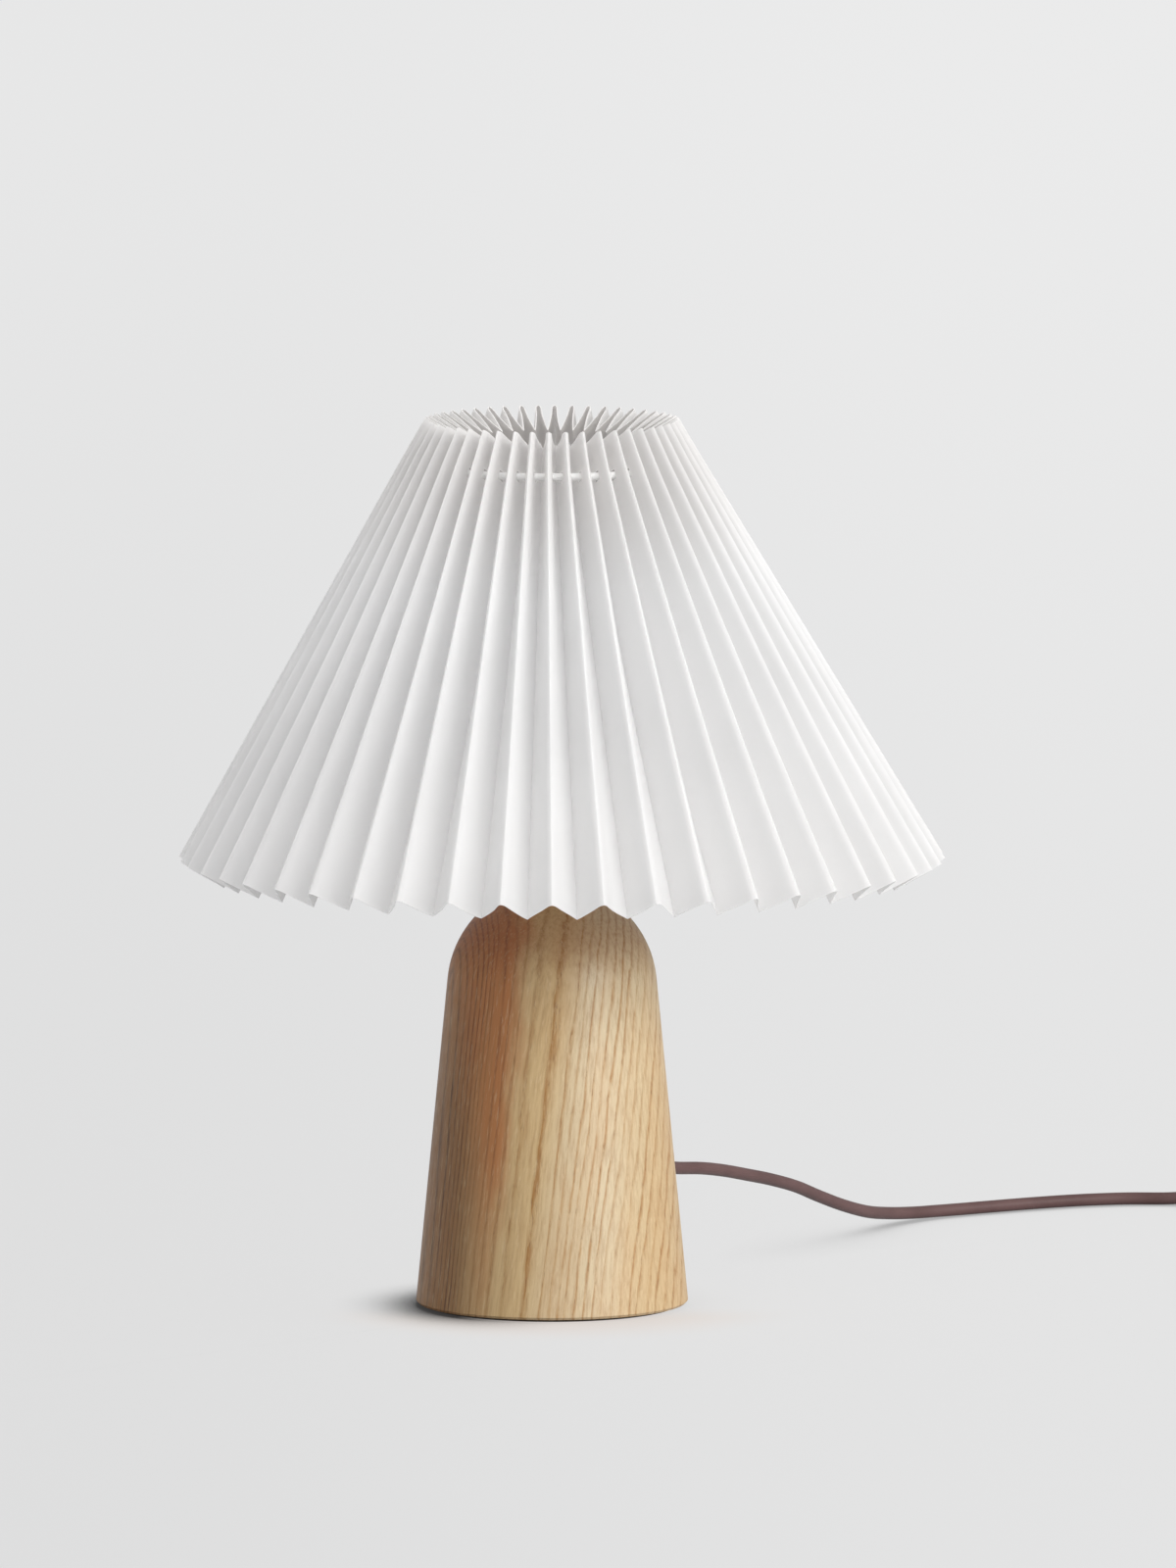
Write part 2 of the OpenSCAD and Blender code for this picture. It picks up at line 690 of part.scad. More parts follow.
function hole_walls(row, c) = concat(
    strip(net(0, row, c), net(0, row, c + 1), net(1, row, c + 1), net(1, row, c)),
    strip(net(1, row + 1, c), net(1, row + 1, c + 1), net(0, row + 1, c + 1), net(0, row + 1, c)),
    strip(net(0, row + 1, c), net(0, row, c), net(1, row, c), net(1, row + 1, c)),
    strip(net(1, row + 1, c + 1), net(1, row, c + 1), net(0, row, c + 1), net(0, row + 1, c + 1))
);
function edge_cell(c) = concat(
    strip(net(1, 0, c), net(1, 0, c + 1), net(0, 0, c + 1), net(0, 0, c)),
    strip(net(0, rows - 1, c), net(0, rows - 1, c + 1), net(1, rows - 1, c + 1), net(1, rows - 1, c))
);

module bulb_tip() {
    color("silver") translate([0, 0, tip_z]) cylinder(h = tip_h, d1 = tip_d - 2, d2 = tip_d);
}

module bulb_insulator() {
    color("dimgray") translate([0, 0, tip_z + tip_h])
        cylinder(h = insulator_h, d1 = tip_d + 2, d2 = bulb_cap_d - 3);
}

module bulb_cap() {
    color("silver") translate([0, 0, cap_z]) {
        cylinder(h = 2, d1 = bulb_cap_d - 3, d2 = bulb_cap_d);
        translate([0, 0, 2]) cylinder(h = bulb_cap_h - 2, d = bulb_cap_d);
    }
}

module bulb_body() {
    color("white") {
        translate([0, 0, neck_z]) cylinder(h = waist_z - neck_z, r1 = neck_r, r2 = waist_r);
        translate([0, 0, waist_z]) cylinder(h = joint_z - waist_z, r1 = waist_r, r2 = joint_r);
    }
}

module bulb_globe() {
    color("floralwhite") difference() {
        translate([0, 0, globe_z]) sphere(d = bulb_d);
        translate([0, 0, joint_z - bulb_d]) cylinder(h = bulb_d, d = bulb_d);
    }
}

module cord_lead() {
    color("rosybrown") tube(smooth(lead_points, lead_rings), cord_d, 8);
}

module cord_link() {
    color("rosybrown") tube(smooth(link_points, lead_rings), cord_d, 8);
}

module cord_tail() {
    color("rosybrown") tube(smooth(tail_points, lead_rings), cord_d, 8);
}

module cord_coil() {
    color("rosybrown") tube(coil_points, cord_d, 6);
}

module coil_tie() {
    turns_r = [for (k = [0 : 2 * coil_turns - 1]) spiral_r(k + 0.5)];
    low = min(turns_r) - cord_d / 2 - tie_gap;
    high = max(turns_r) + cord_d / 2 + tie_gap;
    top = coil_z + layer_rise + cord_d / 2 + loose_gap;
    floor_z = coil_z - cord_d / 2 - seat_gap;
    color("darkslategray") translate([coil_at[0], coil_at[1] + tie_w / 2, 0]) rotate([90, 0, 0])
        linear_extrude(tie_w) difference() {
            translate([-high - tie_t, tie_low]) square([high - low + 2 * tie_t, top + tie_t - tie_low]);
            translate([-high, floor_z]) square([high - low, top - floor_z]);
        }
}

// Plan of the switch: a rectangle with round corners
module switch_plan(shrink = 0) {
    l = switch_l - 2 * shrink;
    w = switch_w - 2 * shrink;
    r = switch_end_r - shrink;
    square([l - 2 * r, w], center = true);
    square([l, w - 2 * r], center = true);
    for (x = [-1, 1], y = [-1, 1]) translate([x * (l / 2 - r), y * (w / 2 - r)]) circle(r = r);
}

module switch_cavity(low, high) {
    inner_l = switch_l - 2 * switch_end_l;
    translate([-inner_l / 2, -switch_w / 2 + switch_wall, low])
        cube([inner_l, switch_w - 2 * switch_wall, high - low]);
}

module cord_slot() {
    translate([0, 0, split_h]) rotate([0, 90, 0])
        cylinder(h = switch_l + 2 * cut, d = cord_d + 2 * seat_gap, center = true);
}

module switch_base() {
    color("rosybrown") translate(switch_at) difference() {
        union() {
            translate([0, 0, 1]) linear_extrude(split_h - 1) switch_plan();
            linear_extrude(1) switch_plan(1);
        }
        switch_cavity(switch_wall, split_h + cut);
        cord_slot();
        for (side = [-1, 1]) translate([side * switch_screw_at[0], side * switch_screw_at[1], -cut])
            cylinder(h = split_h + 2 * cut, d = switch_screw_d + 2 * seat_gap);
    }
}

module switch_cover() {
    pin_lug_y = rocker_w / 2 + rocker_side_gap;
    color("rosybrown") translate(switch_at) difference() {
        union() {
            difference() {
                intersection() {
                    translate([0, 0, split_h]) linear_extrude(switch_h - split_h) switch_plan();
                    rotate([90, 0, 0]) linear_extrude(switch_w, center = true) polygon([
                        [-switch_l / 2, split_h], [-switch_l / 2, switch_h - 6],
                        [-switch_l / 2 + 10, switch_h - 0.8], [-rocker_l / 2 - 3, switch_h],
                        [rocker_l / 2 + 3, switch_h], [switch_l / 2 - 10, switch_h - 0.8],
                        [switch_l / 2, switch_h - 6], [switch_l / 2, split_h]
                    ]);
                    rotate([90, 0, 90]) linear_extrude(switch_l, center = true) polygon([
                        [-switch_w / 2, split_h], [-switch_w / 2, switch_h - 4],
                        [-switch_w / 2 + 3, switch_h], [switch_w / 2 - 3, switch_h],
                        [switch_w / 2, switch_h - 4], [switch_w / 2, split_h]
                    ]);
                }
                switch_cavity(split_h - cut, switch_h - switch_wall);
            }
            for (side = [-1, 1]) translate([-3, side * (pin_lug_y + lug_t / 2) - lug_t / 2, rocker_z - 3])
                cube([6, lug_t, switch_h - switch_wall / 2 - rocker_z + 3]);
        }
        translate([-rocker_l / 2 - rocker_gap, -pin_lug_y, split_h + 1])
            cube([rocker_l + 2 * rocker_gap, 2 * pin_lug_y, switch_h]);
        translate([0, 0, rocker_z]) rotate([90, 0, 0])
            cylinder(h = 2 * (pin_lug_y + lug_t) + cut, r = pin_r + running_gap, center = true);
        cord_slot();
        for (side = [-1, 1]) translate([side * switch_screw_at[0], side * switch_screw_at[1], -cut])
            cylinder(h = switch_h - 6, d = switch_screw_d + 2 * thread_gap);
    }
}

module switch_rocker() {
    crest = 7;
    valley = 5.2;
    hub_r = 2.6;
    leg = 5.5;
    color("dimgray") translate(switch_at + [0, 0, rocker_z]) rotate([0, -rocker_lean, 0]) difference() {
        rotate([90, 0, 0]) linear_extrude(rocker_w, center = true) polygon([
            [-rocker_l / 2, 1], [-rocker_l / 2, crest - 0.8], [-rocker_l / 2 + 0.8, crest],
            [0, valley], [rocker_l / 2 - 0.8, crest], [rocker_l / 2, crest - 0.8],
            [rocker_l / 2, 1], [2, -hub_r], [1, -leg], [-1, -leg], [-2, -hub_r]
        ]);
        rotate([90, 0, 0]) cylinder(h = rocker_w + 2 * cut, r = pin_r + running_gap, center = true);
    }
}

module rocker_pin() {
    length = rocker_w + 2 * (rocker_side_gap + lug_t);
    color("silver") translate(switch_at + [0, 0, rocker_z]) rotate([90, 0, 0])
        cylinder(h = length, r = pin_r, center = true);
}

module switch_contacts() {
    color("gold") translate(switch_at) for (side = [-1, 1])
        translate([side * 15 - post_l / 2, -4, switch_wall]) cube([post_l, 8, 3.4]);
}

module contact_blade() {
    color("gold") translate(switch_at + [0, 2.5, switch_wall + 3.4]) rotate([90, 0, 0])
        linear_extrude(5) polygon([
            [-17, 0], [-11, 0], [0, 1.6], [6, 0.8], [6, 1.2], [0, 2], [-11, 0.4], [-17, 0.4]
        ]);
}

module switch_screws() {
    color("silver") translate(switch_at) for (side = [-1, 1])
        translate([side * switch_screw_at[0], side * switch_screw_at[1], 1])
            cylinder(h = switch_h - 9, d = switch_screw_d);
}

module plug_body() {
    face = plug_at[1] - plug_l;
    grip_w = 17;
    tail_w = 10;
    grooves = 4;
    color("rosybrown") difference() {
        union() {
            intersection() {
                linear_extrude(plug_t) polygon([
                    [plug_at[0] - plug_w / 2, face], [plug_at[0] + plug_w / 2, face],
                    [plug_at[0] + plug_w / 2, face + 9], [plug_at[0] + grip_w / 2, face + 20],
                    [plug_at[0] + tail_w / 2, face + plug_l], [plug_at[0] - tail_w / 2, face + plug_l],
                    [plug_at[0] - grip_w / 2, face + 20], [plug_at[0] - plug_w / 2, face + 9]
                ]);
                translate([plug_at[0], 0, plug_at[2]]) rotate([90, 0, 90])
                    linear_extrude(plug_w + cut, center = true) polygon([
                        [face, -plug_t / 2], [face + 18, -plug_t / 2], [face + plug_l, -plug_t / 2 + 2],
                        [face + plug_l, plug_t / 2 - 2], [face + 18, plug_t / 2], [face, plug_t / 2]
                    ]);
                translate([plug_at[0], face, plug_at[2]]) rotate([-90, 0, 0]) linear_extrude(plug_l)
                    polygon([
                        [-plug_w / 2, -2.4], [-plug_w / 2 + 6, -plug_t / 2], [plug_w / 2 - 6, -plug_t / 2],
                        [plug_w / 2, -2.4], [plug_w / 2, 2.4], [plug_w / 2 - 6, plug_t / 2],
                        [-plug_w / 2 + 6, plug_t / 2], [-plug_w / 2, 2.4]
                    ]);
            }
            translate(plug_at) rotate([-90, 0, 0]) cylinder(h = relief_tail, r1 = 4.4, r2 = cord_d / 2 + 0.6);
        }
        for (i = [0 : grooves - 1]) translate(plug_at + [0, 3 + 3.6 * i, 0]) rotate([-90, 0, 0])
        difference() {
            cylinder(h = 1.4, r = 6);
            translate([0, 0, -cut]) cylinder(h = 4, r = 2.9);
        }
        for (side = [-1, 1]) translate([plug_at[0] + side * pin_pitch / 2, face - cut, plug_at[2]])
            rotate([-90, 0, 0]) cylinder(h = pin_root + cut, d = shank_d + 2 * running_gap);
    }
}

module plug_pins() {
    color("silver") for (side = [-1, 1])
        translate([plug_at[0] + side * pin_pitch / 2, plug_at[1] - plug_l, plug_at[2]]) rotate([90, 0, 0]) {
            translate([0, 0, -pin_root]) cylinder(h = pin_root + pin_sleeve_l, d = shank_d);
            translate([0, 0, pin_sleeve_l]) cylinder(h = pin_l - pin_sleeve_l - pin_tip, d = pin_d);
            translate([0, 0, pin_l - pin_tip]) cylinder(h = pin_tip, d1 = pin_d, d2 = pin_d - 2 * pin_tip);
        }
}

module pin_sleeves() {
    color("dimgray") for (side = [-1, 1])
        translate([plug_at[0] + side * pin_pitch / 2, plug_at[1] - plug_l, plug_at[2]]) rotate([90, 0, 0])
            difference() {
                cylinder(h = pin_sleeve_l, d = pin_d - 2 * sleeve_step);
                translate([0, 0, -cut]) cylinder(h = pin_sleeve_l + 2 * cut, d = shank_d + 0.04);
            }
}

base_body();
base_pad();
threaded_tube();
tube_nut();
tube_washer();
cord_bush();
cord_grip();
grip_screws();
cord_inner();
live_wire();
neutral_wire();
holder_cap();
cap_locknut();
holder_sleeve();
terminal_block();
terminal_posts();
terminal_screws();
screw_shell();
centre_contact();
collar_nut();
fitter_ring();
carrier_arms();
carrier_ring();
shade_pleats();
bulb_tip();
bulb_insulator();
bulb_cap();
bulb_body();
bulb_globe();
cord_lead();
switch_base();
switch_cover();
switch_rocker();
rocker_pin();
switch_contacts();
contact_blade();
switch_screws();
cord_link();
cord_coil();
coil_tie();
cord_tail();
plug_body();
plug_pins();
pin_sleeves();
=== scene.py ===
# %% [markdown]
# # The pleated table lamp
# The CAD model gives every piece its size and its place, in metres. This file gives the lamp its looks: it
# models what bends (the cord, the pleated sheet, the felt and the strap) and gives every other piece a
# finish made of nodes. It could start from an empty scene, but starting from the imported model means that
# nothing has to be fitted afterwards.

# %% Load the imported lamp
import math
import random

import bpy
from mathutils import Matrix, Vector


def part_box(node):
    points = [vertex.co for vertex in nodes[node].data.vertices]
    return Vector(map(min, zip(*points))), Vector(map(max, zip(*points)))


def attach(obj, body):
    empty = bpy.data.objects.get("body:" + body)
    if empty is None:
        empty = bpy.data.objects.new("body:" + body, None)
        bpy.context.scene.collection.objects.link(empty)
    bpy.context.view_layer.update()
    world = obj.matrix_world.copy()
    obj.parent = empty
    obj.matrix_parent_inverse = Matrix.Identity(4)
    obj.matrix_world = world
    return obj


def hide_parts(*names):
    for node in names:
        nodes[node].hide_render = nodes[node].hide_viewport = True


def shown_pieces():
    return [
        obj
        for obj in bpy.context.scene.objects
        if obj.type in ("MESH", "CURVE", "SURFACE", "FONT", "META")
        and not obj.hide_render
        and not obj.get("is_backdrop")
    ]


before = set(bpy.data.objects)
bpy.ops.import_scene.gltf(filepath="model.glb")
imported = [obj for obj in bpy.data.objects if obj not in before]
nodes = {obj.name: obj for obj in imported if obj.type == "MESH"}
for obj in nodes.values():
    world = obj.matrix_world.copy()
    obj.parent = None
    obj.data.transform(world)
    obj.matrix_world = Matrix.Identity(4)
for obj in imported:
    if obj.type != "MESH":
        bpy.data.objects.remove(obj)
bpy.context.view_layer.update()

# %% [markdown]
# ## The camera
# The picture was taken from far away with a long lens, a little above the table: the base's foot shows as
# a flat ellipse, and the shade's mouth as a thin one. A long lens 10 m away gives that, and a short lens
# close by would make the foot too round. The camera comes first, because the cord has to lie outside its
# view.

# %% Set up the camera
CAMERA_AT = (0.0141, -10, 1.432)
LOOK_DOWN = 6.99
LENS = 590.2
SENSOR = 36
camera_data = bpy.data.cameras.new("photo_camera")
camera_data.lens = LENS
camera_data.sensor_width = SENSOR
camera_data.clip_end = 200
camera = bpy.data.objects.new("photo_camera", camera_data)
camera.location = CAMERA_AT
camera.rotation_euler = (math.radians(90 - LOOK_DOWN), 0, 0)
bpy.context.scene.collection.objects.link(camera)
bpy.context.scene.camera = camera
print("camera at", tuple(round(x, 3) for x in camera.location), "lens", round(camera_data.lens, 1), "mm")

# %% [markdown]
# ## The cord's route
# The cord is a round mains lead of 5 mm. It leaves the base at the back through a tapered strain relief,
# sinks to the table, runs through a hand switch, and the rest of its 1.8 m is wound up beside the lamp as
# for storage. The route is a list of points that a smooth line passes through, in millimetres. A line
# drawn freehand could be used, but points keep the length exact. The coil is worked out turn by turn: three
# and a half turns inwards on the table, and as many outwards on top of them.

# %% Draw the route
CORD_D = 5
LEAD = [(39.18, 62.7, 45), (43.95, 70.33, 44.8), (50, 80, 43), (59, 94, 41), (68, 109, 38), (78, 125, 34),
        (87, 141, 30), (97, 157, 25), (106, 173, 19), (116, 189, 13), (126, 206, 8), (135, 223, 5),
        (145, 236, 3.4), (154, 245, 2.8), (164, 252, 2.6), (174, 258, 2.6), (193, 269, 2.6),
        (212, 278, 2.6), (231, 283, 2.6), (250, 283, 2.7), (261, 282, 4.2), (271, 282, 6.8),
        (279, 282, 8), (292, 282, 8)]
LINK = [(328, 282, 8), (341, 282, 8), (349, 280, 7.8), (356, 275, 6.8), (361, 268, 5.6), (362, 260, 4.6),
        (362, 250, 3.9), (362, 240, 3.5), (362, 232, 3.5), (362, 227, 3.5)]
TAIL = [(362, 217, 9), (362, 212, 9), (362, 203, 8.2), (362, 193, 6.4), (362, 182, 5), (362, 171, 4.9),
        (362, 161, 6), (362, 152, 6.85), (362, 145, 6.85)]
COIL_AT = (323.375, 222)
COIL_TURNS = 3.5
COIL_INNER_R = 19.375
COIL_LOW_Z = 3.5
TURN_STEP = 5.5
TURN_PARTS = 48


def smooth_line(points, steps):
    """A smooth line through the points, with `steps` short pieces from each to the next."""
    line = []
    for i in range(len(points) - 1):
        a, b, c, d = (Vector(points[k]) for k in (max(i - 1, 0), i, i + 1, min(i + 2, len(points) - 1)))
        for k in range(steps):
            t = k / steps
            line.append(0.5 * (2 * b + (c - a) * t + (2 * a - 5 * b + 4 * c - d) * t * t
                               + (3 * b - a - 3 * c + d) * t ** 3))
    return line + [Vector(points[-1])]


def coil_point(t):
    """The cord's place after t turns of the coil: inwards on the table, up a layer, and outwards again."""
    r = COIL_INNER_R + TURN_STEP * abs(COIL_TURNS - t)
    z = COIL_LOW_Z + TURN_STEP * min(max((t - COIL_TURNS) * 2 + 0.5, 0), 1)
    angle = math.tau * t
    return Vector((COIL_AT[0] + r * math.cos(angle), COIL_AT[1] - r * math.sin(angle), z))


def line_length(line):
    """How long a line is from end to end."""
    return sum((b - a).length for a, b in zip(line, line[1:]))


coil_line = [coil_point(i / TURN_PARTS) for i in range(int(2 * COIL_TURNS * TURN_PARTS) + 1)]
lead_line = smooth_line(LEAD, steps=5)
stowed_line = smooth_line(LINK, steps=5) + coil_line + smooth_line(TAIL, steps=5)
print("lead", round(line_length(lead_line)), "mm, stowed cord", round(line_length(stowed_line)), "mm")

# %% [markdown]
# ## The cord
# A lead like this is two cores in one soft round sheath. A curve with a round bevel is the natural way to
# model it: the curve is the cord's middle, and its thickness is one number. Sweeping a circle by hand gives
# the same shape with more work. The bevel is 1 m and each point scales it down to the cord's real radius,
# because Blender adds the points' radius to the curve's box. The hand switch splits the cord in two.

# %% Make the two stretches of cord
def lay_cord(name, line):
    """A round cord along a line that is given in mm."""
    curve = bpy.data.curves.new(name, "CURVE")
    curve.dimensions = "3D"
    curve.bevel_depth = 1.0
    curve.bevel_resolution = 6
    curve.use_fill_caps = True
    spline = curve.splines.new("POLY")
    spline.points.add(len(line) - 1)
    for point, place in zip(spline.points, line):
        point.co = (*(place / 1000), 1)
        point.radius = CORD_D / 2000
    spline.use_smooth = True
    cord = bpy.data.objects.new(name, curve)
    bpy.context.scene.collection.objects.link(cord)
    return cord


lead = lay_cord("lead", lead_line)
stowed_cord = lay_cord("stowed_cord", stowed_line)
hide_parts("cord_lead")
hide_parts("cord_link", "cord_coil", "cord_tail")
for cord in (lead, stowed_cord):
    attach(cord, "lamp")

print("cords:", lead.name, stowed_cord.name)

# %% [markdown]
# ## Small helpers for finishes
# A finish is a little network of nodes: a pattern is read at each place on the piece, and it steers the
# colour, the gloss and the fine relief. Building it in the shader editor is slow to repeat, so one helper
# adds a node and joins it to others, and a few more give the usual sums.

# %% Helpers for nodes
def colour(red, green, blue):
    """A colour as a paint program shows it, 0 to 255, turned into the light values that a shader takes."""
    def light(c):
        c /= 255
        return c / 12.92 if c <= 0.04045 else ((c + 0.055) / 1.055) ** 2.4
    return (light(red), light(green), light(blue), 1)


class Finish:
    """A material in the making. `shader` is its main shader, and `place` the place on the piece in mm."""

    def __init__(self, name, roughness=0.5, metallic=0.0):
        self.material = bpy.data.materials.new(name)
        self.material.use_nodes = True
        self.tree = self.material.node_tree
        self.shader = self.tree.nodes["Principled BSDF"]
        self.shader.inputs["Roughness"].default_value = roughness
        self.shader.inputs["Metallic"].default_value = metallic
        self.output = self.tree.nodes["Material Output"]
        coordinates = self.add("ShaderNodeTexCoord")
        self.place = self.add("ShaderNodeMapping", {"Vector": coordinates.outputs["Object"],
                                                    "Scale": (1000, 1000, 1000)}).outputs[0]

    def add(self, kind, inputs=None, **settings):
        """A new node. `inputs` are numbers, colours or other nodes' outputs, and `settings` its choices."""
        node = self.tree.nodes.new(kind)
        for key, value in settings.items():
            setattr(node, key, value)
        for key, value in (inputs or {}).items():
            self.join(value, node.inputs[key])
        return node

    def join(self, value, socket):
        if isinstance(value, bpy.types.NodeSocket):
            self.tree.links.new(value, socket)
        else:
            socket.default_value = value

    def sum(self, operation, a, b=0.0, c=0.0, clamp=False):
        return self.add("ShaderNodeMath", {0: a, 1: b, 2: c}, operation=operation, use_clamp=clamp).outputs[0]

    def along(self, direction):
        """How far the place lies along a direction, in mm."""
        return self.add("ShaderNodeVectorMath", {0: self.place, 1: direction},
                        operation="DOT_PRODUCT").outputs["Value"]

    def noise(self, vector, scale, detail=2.0, roughness=0.5, **more):
        return self.add("ShaderNodeTexNoise", {"Vector": vector, "Scale": scale, "Detail": detail,
                                               "Roughness": roughness, **more}).outputs[0]

    def stretch(self, vector, scale):
        return self.add("ShaderNodeMapping", {"Vector": vector, "Scale": scale}).outputs[0]

    def ease(self, value, low, high, out_low=0.0, out_high=1.0):
        """Goes from out_low to out_high, gently, while the value goes from low to high."""
        return self.add("ShaderNodeMapRange", {0: value, 1: low, 2: high, 3: out_low, 4: out_high},
                        interpolation_type="SMOOTHSTEP").outputs[0]

    def blend(self, factor, a, b, how="MIX"):
        return self.add("ShaderNodeMix", {0: factor, 6: a, 7: b}, data_type="RGBA", blend_type=how).outputs[2]

    def paint(self, colour_socket=None, roughness=None):
        if colour_socket is not None:
            self.join(colour_socket, self.shader.inputs["Base Color"])
        if roughness is not None:
            self.join(roughness, self.shader.inputs["Roughness"])

    def relief(self, height, depth):
        """Fine relief: `height` from 0 to 1, `depth` in mm."""
        bump = self.add("ShaderNodeBump", {"Height": height, "Strength": 1.0, "Distance": depth / 1000})
        self.join(bump.outputs[0], self.shader.inputs["Normal"])


def dress(finish, *pieces):
    """Gives a finish to CAD nodes, by name, or to pieces made here."""
    for piece in pieces:
        piece = nodes[piece] if isinstance(piece, str) else piece
        if not piece.material_slots:
            piece.data.materials.append(finish.material)
        for slot in piece.material_slots:
            slot.material = finish.material
    print(finish.material.name, "on", len(pieces), "piece(s)")


# %% [markdown]
# ## The cord's sheath
# The sheath is soft taupe plastic: matt, with a faint sheen where it turns away, and a skin that is never
# quite even. Two noises do it: a broad one moves the colour a little, a fine one roughens the skin.

# %% Finish of the sheath
sheath = Finish("taupe_sheath", roughness=0.55)
broad = sheath.noise(sheath.place, 0.05, 3)
fine = sheath.noise(sheath.place, 3.0, 2)
sheath.paint(sheath.blend(sheath.ease(broad, 0.3, 0.7), colour(99, 75, 74), colour(109, 84, 83)),
             sheath.ease(fine, 0.3, 0.7, 0.48, 0.62))
sheath.relief(fine, 0.03)
sheath.shader.inputs["Specular IOR Level"].default_value = 0.25
sheath.shader.inputs["Sheen Weight"].default_value = 0.08
sheath.shader.inputs["Sheen Roughness"].default_value = 0.4
dress(sheath, lead, stowed_cord, "cord_inner")

# %% [markdown]
# ## The pleated shade
# The shade is one strip of stiff white sheet, 200 mm wide and 1.6 m long, folded to and fro every 17 mm and
# closed into a ring, so 48 outer folds make a cone. Because the strip keeps its width, the pleats are
# tight at the top and open at the hem, and the depth of each fold follows from how far its neighbours
# stand apart. A cone with bumps painted on would be quicker, but its rim would not zigzag. So a flat grid
# is laid out as the strip, and each of its points is moved to where the folded strip has it. The pleats
# are a little wider apart in some places than in others, and each fold is off its place by a nudge that is
# drawn from seeded dice. All sizes are in millimetres and degrees.

# %% Sizes of the shade
LAMP_H = 350
SHADE_H = 173
MOUTH_R = 49.5
HEM_R = 150
PLEATS = 48
PLEAT_W = 17
SHEET_W = 200.07
SHEET_T = 0.4
FIRST_FOLD = 2.46
PITCH_SWING = 1.7
FOLD_NUDGE = 0.35
FACET_BEND = 0.5
WIRE_DROP = 15.5
HEM_SHIFT = 4.2
CONE = math.atan2(HEM_R - MOUTH_R, SHADE_H)
DOWN = Vector((math.sin(CONE), 0, -math.cos(CONE)))
INTO = Vector((-math.cos(CONE), 0, -math.sin(CONE)))
dice = random.Random(7)
fold_nudge = [dice.uniform(-FOLD_NUDGE, FOLD_NUDGE) for _ in range(2 * PLEATS)]
facet_bow = [dice.uniform(-FACET_BEND, FACET_BEND) for _ in range(2 * PLEATS)]
facet_twist = [dice.uniform(-FACET_BEND, FACET_BEND) for _ in range(2 * PLEATS)]


def fold_angle(fold):
    """Where a fold stands round the lamp, in degrees from the front: even ones point in, odd ones out."""
    even = FIRST_FOLD + fold * 180 / PLEATS
    return even + PITCH_SWING * math.sin(math.radians(2 * even)) + fold_nudge[fold % (2 * PLEATS)]


def fold_point(fold, v):
    """The point v mm down a fold. An inner fold lies as deep as the sheet's width lets it."""
    angle = math.radians(fold_angle(fold) - 90)
    place = Vector((MOUTH_R, 0, LAMP_H)) + DOWN * v
    if fold % 2 == 0:
        spread = math.radians(fold_angle(fold + 1) - fold_angle(fold - 1)) / 2
        half_pitch = spread * (place.x - PLEAT_W / 2 * math.cos(CONE))
        place += INTO * math.sqrt(PLEAT_W ** 2 - half_pitch ** 2)
    return Vector((place.x * math.cos(angle), place.x * math.sin(angle), place.z))


print("folds at", [round(fold_angle(2 * k), 1) for k in range(-4, 10)], "degrees from the front")

# %% [markdown]
# The grid has nine columns to a facet and a row wherever something changes: the wire's hole needs its own
# rows and columns. A stiff sheet bends over a crease instead of meeting it straight, so close to each outer
# fold the facets stand back by up to 0.7 mm, which makes the ridge blunt and lets it catch the light. Each
# facet also gets a slight bow and twist from the same dice, because no sheet folds quite flat. Below the
# wire the sheet swings a little to the right, where the picture has its hem.

# %% Lay out the strip and fold it
ACROSS = [0, 0.04, 0.1, 0.19, 0.382, 0.618, 0.81, 0.9, 0.96]
BLUNT, RIDGE_W = 0.7, 1.8
BIT = 5
ROWS = [0, 4.5, 9, 13.5, 17.5, 24, 36, 52, 70, 90, 110, 130, 150, 168, 184, SHEET_W]
bpy.ops.object.select_all(action="DESELECT")
bpy.ops.mesh.primitive_grid_add(x_subdivisions=2 * PLEATS * len(ACROSS), y_subdivisions=len(ROWS) - 1,
                                size=1)
shade = bpy.context.object
shade.name = shade.data.name = "pleated_shade"


def sheet_point(column, row):
    """Where the folded strip has a point of the flat grid, in metres."""
    facet, part = divmod(column, len(ACROSS))
    u, v = ACROSS[part], ROWS[row]
    a, b = fold_point(facet, v), fold_point(facet + 1, v)
    a_down, b_down = fold_point(facet, v + BIT), fold_point(facet + 1, v + BIT)
    face = (b - a).cross((a_down + b_down - a - b) / 2).normalized()
    share = v / SHEET_W
    swell = facet_bow[facet % (2 * PLEATS)] * share + facet_twist[facet % (2 * PLEATS)] * share * (2 * u - 1)
    from_ridge = PLEAT_W * (1 - u if facet % 2 == 0 else u)
    blunt = BLUNT * from_ridge / RIDGE_W * math.exp(1 - from_ridge / RIDGE_W)
    place = a.lerp(b, u) + face * (4 * u * (1 - u) * swell - blunt)
    place.x += HEM_SHIFT * max(v - WIRE_DROP, 0) / SHEET_W
    return place / 1000


columns = 2 * PLEATS * len(ACROSS) + 1
for point in shade.data.vertices:
    column = round((point.co.x + 0.5) * (columns - 1))
    row = round((0.5 - point.co.y) * (len(ROWS) - 1))
    point.co = sheet_point(column, row)
shade.data.update()
shade.data.materials.append(None)
shade.data.materials.append(None)
print("strip folded:", len(shade.data.polygons), "cells")

# %% [markdown]
# In the real shade each facet has a small square hole where the carrier's wire passes, and the strip's two
# ends are joined. The cells round the wire are picked by their column and row and deleted, the ends merge,
# and a Solidify modifier gives the sheet its 0.4 mm.

